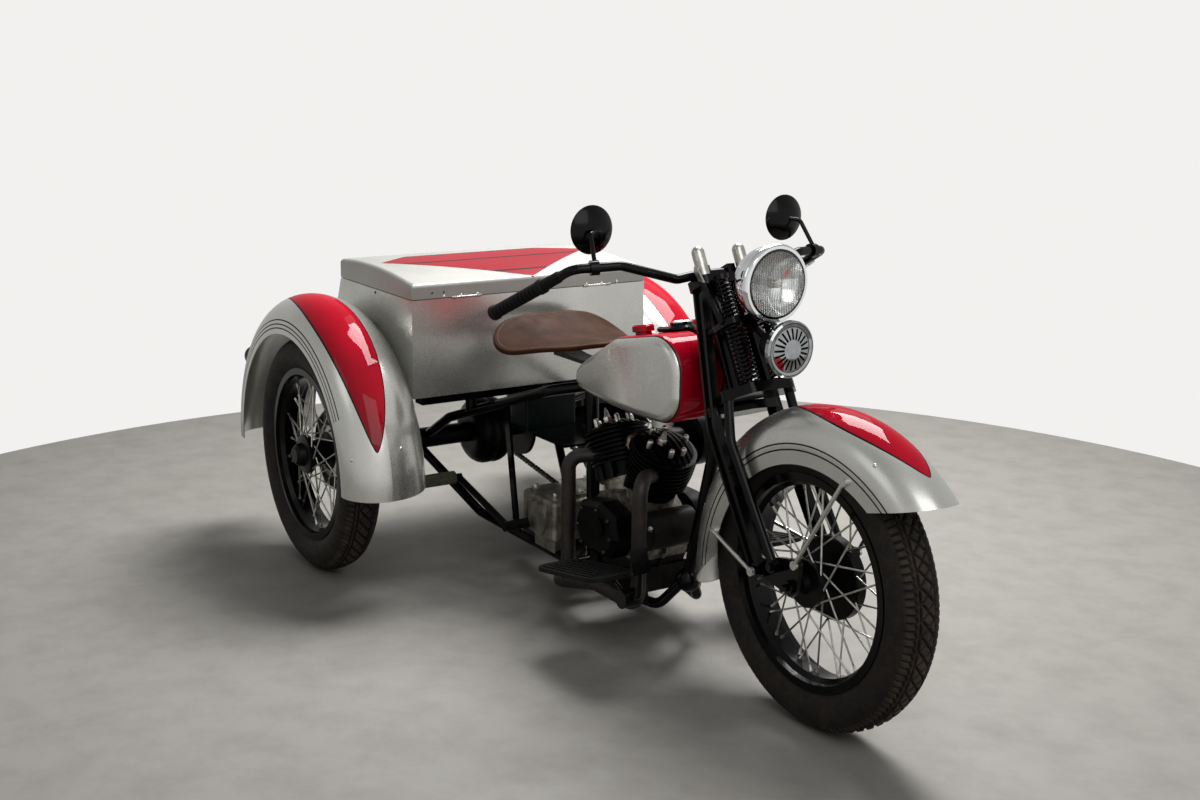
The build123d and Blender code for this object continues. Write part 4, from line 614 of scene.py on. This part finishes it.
def makeTyre(name, centre, body, c=tyreLook):
    # radius = section radius - depth x groove(angle, side); the groove is a smooth step on diamonds, ribs and
    # bars, and is painted as shade too
    flange, widest, edge = ((r, -y) for r, y in (c["flange"], c["widest"], c["edge"]))
    wall = threePointArc(flange, widest, edge, c["wallSteps"])
    crown = threePointArc(edge, (c["crown"], 0), c["edge"], c["crownSteps"])
    bead = [(c["bead"], side * c["flange"][1]) for side in (1, 0, -1)]
    section = np.vstack([wall[:-1], crown, wall[::-1][1:] * (1, -1), bead])
    run = np.concatenate([[0], np.cumsum(np.hypot(*np.diff(section, axis=0).T))])
    across = (run - run[len(wall) - 1 + c["crownSteps"] // 2])[None]
    size = np.abs(across)
    turn = np.linspace(0, 2 * np.pi, c["rows"], endpoint=False)[:, None]
    along = turn * c["pitchCount"] / (2 * np.pi)
    pitch = 2 * np.pi * c["crown"] / c["pitchCount"]

    def step(gap):
        # 1 within half a groove's width of its line, 0 beyond one and a half
        return np.clip(1.5 - np.abs(gap) / c["groove"], 0, 1)

    def wave(t):
        # distance to the nearest whole number
        return np.abs((t + 0.5) % 1 - 0.5)

    inner, outer = c["ribs"]
    slants = [wave(along + lean * across / (2 * c["diamond"])) * pitch * c["slant"] for lean in (-1, 1)]
    lattice = np.maximum(*(step(gap) for gap in slants))
    swing = c["zigzag"] * (4 * wave(along * 2) - 1)
    ribs = np.maximum(step(size - inner - c["ribInset"]), step(size - outer - swing))
    bars = step(wave(along * 2 + 0.25) * pitch / 2) * np.clip((size - outer) / c["barFade"], 0, 1)
    grooveShade = np.maximum(np.where(size < inner, lattice, ribs), np.where(size > outer, bars, 0))
    grooveShade = grooveShade * np.clip((c["shoulder"] + c["overShoulder"] - size) / c["shoulderFade"], 0, 1)
    radius = section[None, :, 0] - c["depth"] * grooveShade
    grid = np.stack([radius * np.cos(turn), section[None, :, 1] + 0 * turn, radius * np.sin(turn)], -1) / 1000
    # painted shade: sidewalls beyond the shoulder are painted darker, and the grooves near black
    shade = c["wallShade"] * np.clip((size - c["shoulder"]) / c["overShoulder"], 0, 1)
    makePiece(name + "_tread", grid[:, ::-1] + centre, "tyreRubber", body, name,
              closeV=True, grooveShade=np.maximum(grooveShade, shade)[:, ::-1])


for centre, tyre, body in wheels.values():
    makeTyre(tyre, centre, body)
print("tyres treaded")

# spoke nipples at the rim and heads at the flange, one for each laced spoke, in millimetres
lacing = {"pairs": 10, "start": 49.6, "end": 212.4, "advance": 2.2, "flange": 38.0, "rimSide": 7.0,
          "offset": 4.0}
nipple = lathe([(0, -0.013), (0.0026, -0.013), (0.0032, -0.011), (0.0034, -0.002), (0.0046, 0.0),
                (0.0046, 0.0016), (0, 0.0016)], 8)
spokeHead = lathe([(0, -0.004), (0.0036, -0.003), (0.0036, 0.001), (0, 0.003)], 8)


def makeNipples(name, centre, body, c=lacing):
    # a spoke's rim angle = its hub angle + lean x advance; the nipple's axis is the spoke's
    step = 2 * np.pi / c["pairs"]
    choices = np.meshgrid(np.arange(c["pairs"]), (-1, 1), (-1, 1), indexing="ij")
    index, side, lean = (g.ravel() for g in choices)
    base = index * step + np.where(side > 0, step / 2, 0) + lean * step / 4
    tip = base + lean * step * c["advance"]

    def ring(r, a, y):
        return np.stack([r * np.cos(a), y + c["offset"] * lean * side, r * np.sin(a)], -1) / 1000 + centre

    start, end = ring(c["start"], base, side * c["flange"]), ring(c["end"], tip, side * c["rimSide"])
    makePiece(name + "_nipples", placed(nipple, end, end - start), "zincSteel", body)
    makePiece(name + "_heads", placed(spokeHead, start, np.outer(side, leftWay)), "zincSteel", body)


for name, (centre, tyre, body) in wheels.items():
    makeNipples(name, centre, body)
print("spoke nipples set")

# fork springs as wound wire, in millimetres
springLook = {"crown": 342.0, "crownHalf": 12.0, "side": 45.0, "upper": 18.0, "lower": 24.0,
              "upperLength": 93.0, "wire": 3.4, "pitch": 10.8, "steps": 340}


def makeSprings(c=springLook, p=perch):
    # wire centre = low end + axis x height + radius x (cos, sin) of the turns wound by that height
    grids, wire = [], c["wire"] / 1000
    share = np.linspace(0, 1, c["steps"])
    seats = ((p["height"], p["half"]), (p["height"], p["half"] + c["upperLength"]),
             (c["crown"], c["crownHalf"]), (p["height"], -p["half"]))
    for side in (-c["side"], c["side"]):
        upperLow, upperHigh, lowerLow, lowerHigh = (steered(h, p["reach"], side, rise) for h, rise in seats)
        for low, high, radius in ((upperLow, upperHigh, c["upper"]), (lowerLow, lowerHigh, c["lower"])):
            length = np.linalg.norm(high - low)
            height = (length - 2 * wire) * share + wire
            swing = 2 * np.pi * round(length * 1000 / c["pitch"]) * share
            ring = np.outer(np.cos(swing), foreWay) + np.outer(np.sin(swing), leftWay)
            path = low + np.outer(height, upWay) + ring * (radius - c["wire"]) / 1000
            grids.append(tube(path, wire, 8))
    makePiece("fork_spring_coils", grids, "blackEnamel", "steering", "fork_springs",
              closeU=False, closeV=True)


makeSprings()
print("springs wound")

# headlamp: fluted lens, silvered bowl and bulb, in millimetres; the bowl's depth of shading is in metres
lampLook = {"radius": 77.7, "dome": 15.0, "thick": 2.4, "flute": 6.5, "fluteDeep": 0.9, "plainRim": 2.0,
            "bowlDeep": 5.6, "bowlThick": 0.3, "dish": 0.12, "steps": 40, "sides": 120}
lampFace = perchTop + np.array((0.100, 0, 0.090))

# silvered bowl: a mirror shaded as a deep dish by a bump that rises with the square of the radius, its colour
# banded light and dark at the flutes' spacing as a painted reflection of the fluted lens
finish["bowl"], tree, bsdf = newMaterial("silvered bowl", Metallic=1.0)
x, y, z = spotFrom(tree, lampFace)
far = radiusOf(tree, y, z)
squared = add(tree, "Math", far, far, operation="MULTIPLY")
dish = add(tree, "Math", squared, lampLook["dish"], operation="DIVIDE")
hollow = add(tree, "Bump", inputs={"Strength": 1.0, "Distance": 1.0, "Height": dish})
tree.links.new(hollow, bsdf.inputs["Normal"])
# painted reflection: light and dark bands across the bowl at the flutes' spacing
phase = add(tree, "Math", y, 2 * math.pi * 1000 / lampLook["flute"], operation="MULTIPLY")
fluteBandLight = add(tree, "MapRange", add(tree, "Math", phase, operation="SINE"), -0.6, 0.6)
bands = add(tree, "Mix", inputs={0: fluteBandLight, 6: hexLinear("#F2F3F2"), 7: hexLinear("#A9ABAA")}, **colours)
tree.links.new(bands, bsdf.inputs["Base Color"])
tree.links.new(wearOf(tree, 40, least=0.06, most=0.14), bsdf.inputs["Roughness"])


def makeLamp(c=lampLook):
    # lens outside: a sphere's cap; inside: the same, less the glass and upright flutes |sin| across; bowl: a
    # parabola; each is a front face out to the rim and a back face in again
    out = np.linspace(0, 1, c["steps"])
    share = np.concatenate([out, out[::-1]])[None]
    atBack = (np.arange(2 * c["steps"]) >= c["steps"])[None]
    turn = np.linspace(0, 2 * np.pi, c["sides"], endpoint=False)[:, None]
    radius = c["radius"] * share
    y, z = radius * np.cos(turn), radius * np.sin(turn)
    ball = (c["radius"]**2 + c["dome"]**2) / (2 * c["dome"])
    cap = np.sqrt(ball**2 - radius**2) - ball + c["dome"]
    flutes = c["fluteDeep"] * np.abs(np.sin(np.pi * y / c["flute"])) * (radius < c["radius"] - c["plainRim"])
    lens = np.stack([cap - atBack * (c["thick"] + flutes), y, z], -1) / 1000 + lampFace
    makePiece("lens_fluted", lens, "clearGlass", "steering", "headlamp_lens")
    depth = c["bowlDeep"] * (share**2 - 1) - atBack * c["bowlThick"] + 0 * turn
    bowl = np.stack([depth, y, z], -1) / 1000 + lampFace
    makePiece("lamp_bowl", bowl, "bowl", "steering")
    bulb = lathe([(0, -0.005), (0.006, -0.005), (0.0085, -0.001), (0.0075, 0.004), (0.004, 0.008),
                  (0, 0.0092)], 20)
    makePiece("lamp_bulb", placed(bulb, lampFace, (1, 0, 0)), "porcelain", "steering")


makeLamp()
print("headlamp glazed")

# mirror glass on the rider's side of each mirror
mirrorSpot = barMiddle + np.array((-0.102, 0.278, 0.105))
mirrorSpots = [mirrorSpot, mirrorSpot * (1, -1, 1)]
glassDisc = lathe([(0, 0.0046), (0.03, 0.0044), (0.0505, 0.0041), (0.0505, 0.002), (0, 0.002)], 48)
glasses = placed(glassDisc, mirrorSpots, [(-1, 0, 0)] * 2)
makePiece("mirror_glass", glasses, "mirrorGlass", "steering")
print("mirrors glazed")

# grips: ringed rubber with an end bead; the throttle hand's ends in a collar and a sleeve, in millimetres
gripLook = {"tip": (-325, 405, -108), "bend": (-48, 362, 27), "radius": 16.0, "bore": 11.3, "ring": 15.0,
            "ringDeep": 2.2, "long": 186.0, "short": 172.0, "sleeve": 266.0, "sleeveRadius": 13.5}


def makeGrip(name, side, length, sleeve, c=gripLook):
    # spun about the bar: outer profile with a groove each ring, closed along the bar's own surface
    tip, bend = (barMiddle + np.array((x, y * side, z)) / 1000 for x, y, z in (c["tip"], c["bend"]))
    r, hole, deep = c["radius"], c["bore"], c["ringDeep"]
    bead = [(0, -8), (r - 2, -8), (r + 2.5, -5), (r + 2.5, 5), (r - 1, 7), (r - 1, 13)]
    steps = ((0, 0), (0, 10), (deep, 10.6), (deep, 14.4))
    grooves = [(r - d, h + s) for h in np.arange(14, length - 6, c["ring"]) for d, s in steps]
    end = [(r, length), (hole, length)]
    if sleeve:
        end = [(r + 2, length + 1), (r + 2, length + 15), (r - 2, length + 18),
               (c["sleeveRadius"], sleeve - 6), (hole, sleeve)]
    profile = np.array(bead + grooves + end + [(hole, 0), (0, 0)]) / 1000
    makePiece(name, placed(lathe(profile, 32), tip, bend - tip), "mouldedRubber", "steering")


def makeGrips(c=gripLook):
    makeGrip("grip_right", -1, c["long"], c["sleeve"])
    makeGrip("grip_left", 1, c["short"], 0)
    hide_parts("grips")


makeGrips()
print("grips fitted")


# fasteners, each kind one mesh for its body
def hexBolt(radius, tall):
    # six-sided prism with a chamfered top, over a washer
    return lathe([(0, -0.001), (radius * 1.35, -0.001), (radius * 1.35, 0.0012), (radius, 0.0012),
                  (radius, tall * 0.85), (radius * 0.85, tall), (0, tall)], 6)


def domeNut(radius, tall):
    # round skirt and a half-round top
    swing = np.linspace(0, np.pi / 2, 6)
    top = [(radius * math.cos(a), tall - min(radius, tall) * (1 - math.sin(a))) for a in swing]
    return lathe([(0, 0), (radius, 0)] + top, 14)


# cylinder heads: nuts and plug by their place along and across a head and their height, in millimetres
headLook = {"nuts": ((46, 18), (46, -18), (-46, 18), (-46, -18), (0, 54), (0, -54)), "nutFrom": 279.0,
            "plug": (0, -18), "plugFrom": 289.0}
insulator = lathe([(0, 0.012), (0.0078, 0.012), (0.0078, 0.018), (0.0062, 0.02), (0.0066, 0.023),
                   (0.0052, 0.026), (0.0046, 0.032), (0.0028, 0.033), (0.0028, 0.038), (0, 0.038)], 20)


def makeHeadFittings(c=headLook, e=engine):
    # place = crank + lean x height + fore x along + left x across, on the ribs of each head
    nuts, plugs, nutWays, plugWays = [], [], [], []
    for lean in (math.radians(e["lean"]), -math.radians(e["lean"])):
        up = np.array((math.sin(lean), 0, math.cos(lean)))
        along = np.array((math.cos(lean), 0, -math.sin(lean)))
        for fore, across in c["nuts"]:
            nuts.append(e["crank"] + (up * c["nutFrom"] + along * fore + leftWay * across) / 1000)
            nutWays.append(up)
        fore, across = c["plug"]
        plugs.append(e["crank"] + (up * c["plugFrom"] + along * fore + leftWay * across) / 1000)
        plugWays.append(up)
    makePiece("head_nuts", placed(domeNut(0.0072, 0.024), nuts, nutWays), "zincSteel", "chassis")
    makePiece("plug_bodies", placed(hexBolt(0.0115, 0.014), plugs, plugWays), "zincSteel", "chassis")
    makePiece("plug_insulators", placed(insulator, plugs, plugWays), "porcelain", "chassis")


makeHeadFittings()


def ringOf(station, side, height, radius, angles):
    return [at(station + radius * math.cos(a), side, height + radius * math.sin(a)) for a in angles]


gearboxLid = [at(station, side, -57) for station in (448, 552) for side in (-80, 0, 80)]
gearboxEnd = [at(429, side, height) for side in (-96, 52) for height in (-152, -76)]
coverScrews = ((-56, -24), (50, -24), (76, 16), (66, 62), (12, 76), (-58, 64), (-76, 18))
timingCover = [crank + np.array((x, -137, z)) / 1000 for x, z in coverScrews]
generatorEnd = ringOf(1000, -95, -29, 34, (0.5, 2.6, 4.7))
primaryFront = ringOf(835, 186, -84, 60, (-1.4, -0.5, 0.5, 1.4))
primaryRear = ringOf(535, 186, -103, 82, (1.7, 2.6, 3.6, 4.6))
boltRows = {  # finish, radius, height, direction and places
    "gearbox_lid_bolts": ("zincSteel", 0.0075, 0.009, (0, 0, 1), gearboxLid),
    "gearbox_end_bolts": ("zincSteel", 0.0075, 0.009, (-1, 0, 0), gearboxEnd),
    "timing_screws": ("oiledSteel", 0.0055, 0.006, (0, -1, 0), timingCover),
    "generator_screws": ("zincSteel", 0.006, 0.006, (0, -1, 0), generatorEnd),
    "primary_screws": ("zincSteel", 0.006, 0.006, (0, 1, 0), primaryFront + primaryRear),
}
for name, (material, radius, tall, way, spots) in boltRows.items():
    makePiece(name, placed(hexBolt(radius, tall), spots, [way] * len(spots)), material, "chassis")

# nut on the end of the kick pedal, by station and height, in millimetres
kickLook = {"station": 185, "height": -76, "proud": 0.5}
kickNut = at(kickLook["station"], kickEnd * 1000 - kickLook["proud"], kickLook["height"])
makePiece("kick_nut", placed(domeNut(0.012, 0.012), kickNut, (0, -1, 0)), "zincSteel", "chassis")

# nuts that hold the intake pipe, ahead of and behind the middle and above the crank, in metres
intakeLook = {"fore": 0.024, "rise": 0.225}
intakeNut = lathe([(0.0202, -0.011), (0.027, -0.011), (0.029, -0.008), (0.029, 0.008), (0.027, 0.011),
                   (0.0202, 0.011)], 8)
intakeSpots = [crank + (side * intakeLook["fore"], 0, intakeLook["rise"]) for side in (1, -1)]
intakeNuts = placed(intakeNut, intakeSpots, [(1, 0, 0)] * 2)
makePiece("intake_nuts", intakeNuts, "brass", "chassis", closeV=True)

# rivets of the fenders: angle round the fender's centre, radius, side and lean of the surface to the side
rivet = domeNut(0.0050, 0.0035)
rivetRows = {"front_fender_rivets": (frontFender, "steering", ((65, 0.4157, 0.0656, 55),)),
             "rear_fender_rivets": (rearFender, "chassis",
                                    ((14.8, 0.4282, 0.5964, 60), (16.4, 0.4735, 0.474, -14)))}
for name, (fender, body, rows) in rivetRows.items():
    angle, radius, side, lean = np.array([(a, r, s * y, tilt) for a, r, y, tilt in rows for s in (-1, 1)]).T
    turn, lean = np.radians(angle), np.radians(lean)
    spots = np.array(fender["centre"]) + np.stack([radius * np.cos(turn), side, radius * np.sin(turn)], -1)
    outward = np.cos(lean)
    ways = np.stack([np.cos(turn) * outward, np.sin(lean) * np.sign(side), np.sin(turn) * outward], -1)
    makePiece(name, placed(rivet, spots, ways), "silver", body)

# rivets on the lid's lip and screws in the box's sides, in millimetres
lipLook = {"station": 290, "height": 468, "sides": (-278, -226, -176, 176, 226, 278)}
boxLook = {"side": 374, "screws": ((56, 454), (42, 363))}
lipSpots = [at(lipLook["station"], side, lipLook["height"]) for side in lipLook["sides"]]
makePiece("lid_rivets", placed(rivet, lipSpots, [(1, 0, 0)] * len(lipSpots)), "silver", "lid")
sideSpots = [at(fore, side * boxLook["side"], high) for side in (-1, 1) for fore, high in boxLook["screws"]]
sideWays = [leftWay * np.sign(spot[1]) for spot in sideSpots]
makePiece("box_screws", placed(domeNut(0.004, 0.0028), sideSpots, sideWays), "oiledSteel", "chassis")
print("fasteners set")

# instrument dial on the tank's top: enamel face, bright ring, ticks and needle, in millimetres
dialLook = {"shoulder": (930, 356, 92), "brow": (1068, 391, 85), "along": 98.0, "rise": 21.0, "radius": 26.0,
            "ticks": 21, "needleAt": 5}


def makeDial(c=dialLook):
    # the tank's top is the tangent of two circles; ticks stand at equal angles round three quarters of a turn
    (x0, z0, r0), (x1, z1, r1) = c["shoulder"], c["brow"]
    slope = math.atan2(z1 - z0, x1 - x0) + math.asin((r1 - r0) / math.hypot(x1 - x0, z1 - z0))
    normal = np.array((-math.sin(slope), 0, math.cos(slope)))
    along = np.array((math.cos(slope), 0, math.sin(slope)))
    middle = at(x0, 0, z0) + (normal * (r0 + c["rise"]) + along * c["along"]) / 1000
    r = c["radius"] / 1000
    ring = lathe([(r - 0.003, 0), (r - 0.003, 0.003), (r - 0.001, 0.0045), (r + 0.0008, 0.003),
                  (r + 0.0008, 0)], 48)
    makePiece("dial_ring", placed(ring, middle, normal), "chrome", "chassis", closeV=True)
    face = lathe([(0, 0.0012), (r - 0.0028, 0.0012), (r - 0.0028, 0.0002), (0, 0.0002)], 48)
    makePiece("dial_face", placed(face, middle, normal), "dialEnamel", "chassis")
    swing = np.linspace(-0.75 * np.pi, 0.75 * np.pi, c["ticks"])
    outward = np.outer(np.cos(swing), along) + np.outer(np.sin(swing), leftWay)
    tick = lathe([(0, -0.0028), (0.0005, -0.0028), (0.0005, 0.0028), (0, 0.0028)], 4)
    ticks = placed(tick, middle + normal * 0.0013 + outward * (r - 0.0075), outward)
    makePiece("dial_ticks", ticks, "blackEnamel", "chassis")
    needle = lathe([(0, -0.004), (0.0011, -0.003), (0.0006, 0.015), (0, 0.016)], 4)
    pointer = placed(needle, middle + normal * 0.0022, outward[c["needleAt"]])
    makePiece("dial_needle", pointer, "blackEnamel", "chassis")


makeDial()
print("dial set")

# saddle: hide drawn over a pan, wide at the back, draped at the sides, with a rolled and stitched edge, in
# millimetres
saddleLook = {"lobe": (452.0, 119.0, 86.0), "nose": (625.0, 45.0), "middle": 515.0,
              "line": ((365, 414), (518, 366), (671, 374)), "half": 205.0, "rise": 6.0, "drape": 34.0,
              "drapePower": 2.2, "dent": 1.6, "dentSpan": (43.0, 31.0), "dentShift": 0.6, "bead": 6.5,
              "beadSteps": 9, "topSteps": 26, "lineSteps": 200, "sides": 220, "facings": 1440,
              "stitchIn": 13.0, "stitches": 150, "stitchLift": 0.2}

# chrome-tanned cowhide: brown, rubbed paler on the seat, with fine grain and creases
finish["leather"], tree, bsdf = newMaterial("brown cowhide", Specular_IOR_Level=0.04)
rubbed = {0: wearOf(tree, 70, 2.0, 0.36, 0.7), 6: hexLinear("#332017"), 7: hexLinear("#452C20")}
tree.links.new(add(tree, "Mix", inputs=rubbed, **colours), bsdf.inputs["Base Color"])
tree.links.new(wearOf(tree, 30, least=0.42, most=0.62), bsdf.inputs["Roughness"])
pores = add(tree, "TexVoronoi", add(tree, "TexCoord", out="Object"), inputs={"Scale": 1000 / 2.6})
grained = add(tree, "Bump", inputs={"Strength": 0.35, "Distance": 0.0005, "Height": pores})
tree.links.new(grained, bsdf.inputs["Normal"])


def saddleReach(turn, c=saddleLook):
    # reach from the middle to the hull of three circles: the least of support / cos(angle between) over all
    # facing lines
    (lobeX, lobeY, lobeR), (noseX, noseR) = c["lobe"], c["nose"]
    face = np.linspace(0, 2 * np.pi, c["facings"], endpoint=False)
    centres = np.array(((lobeX, -lobeY), (lobeX, lobeY), (noseX, 0))) - (c["middle"], 0)
    support = (np.stack([np.cos(face), np.sin(face)], -1) @ centres.T + (lobeR, lobeR, noseR)).max(1)
    facing = np.cos(turn[:, None] - face[None])
    return np.where(facing > 0.05, support[None] / np.maximum(facing, 0.05), np.inf).min(1)


def makeSaddle(c=saddleLook):
    # height = dipped length line + rise - drape x |side / half|^power + shallow dents, with a round bead at
    # the edge and a pan below
    turn = np.linspace(0, 2 * np.pi, c["sides"], endpoint=False)
    reach = saddleReach(turn)[:, None]
    line = threePointArc(*c["line"], c["lineSteps"])
    bend = np.linspace(0, np.pi, c["beadSteps"])
    out = np.linspace(0, 1, c["topSteps"])
    back = out[::-3]
    share = np.concatenate([out, np.ones(len(bend)), back])[None]
    bulge = np.concatenate([0 * out, c["bead"] * np.sin(bend), 0 * back])[None]
    drop = np.concatenate([0 * out, c["bead"] * (1 - np.cos(bend)), 0 * back + 2 * c["bead"]])[None]

    def topAt(x, y):
        dents = c["dent"] * np.sin(y / c["dentSpan"][1]) * np.sin(x / c["dentSpan"][0] + c["dentShift"])
        drape = c["drape"] * np.abs(y / c["half"])**c["drapePower"]
        return np.interp(x, line[:, 0], line[:, 1]) + c["rise"] - drape + dents

    def spots(radial, turn, lift):
        x, y = c["middle"] + radial * np.cos(turn), radial * np.sin(turn)
        return np.stack([x / 1000 + rearX, y / 1000, (topAt(x, y) + lift) / 1000 + axleZ], -1)

    grid = spots(share * (reach - c["bead"]) + bulge, turn[:, None], -drop)
    hide = makePiece("saddle_hide", grid, "leather", "chassis", "saddle")
    smooth = hide.modifiers.new("smooth", "SUBSURF")
    smooth.levels = smooth.render_levels = 1
    edge = np.linspace(0, 2 * np.pi, c["stitches"], endpoint=False)
    seam = spots(saddleReach(edge) - c["stitchIn"], edge, c["stitchLift"])
    stitch = lathe([(0, -0.0026), (0.0008, -0.0022), (0.001, 0), (0.0008, 0.0022), (0, 0.0026)], 6)
    stitches = placed(stitch, seam, np.roll(seam, -1, 0) - np.roll(seam, 1, 0))
    makePiece("saddle_stitches", stitches, "thread", "chassis")


makeSaddle()
print("saddle covered")
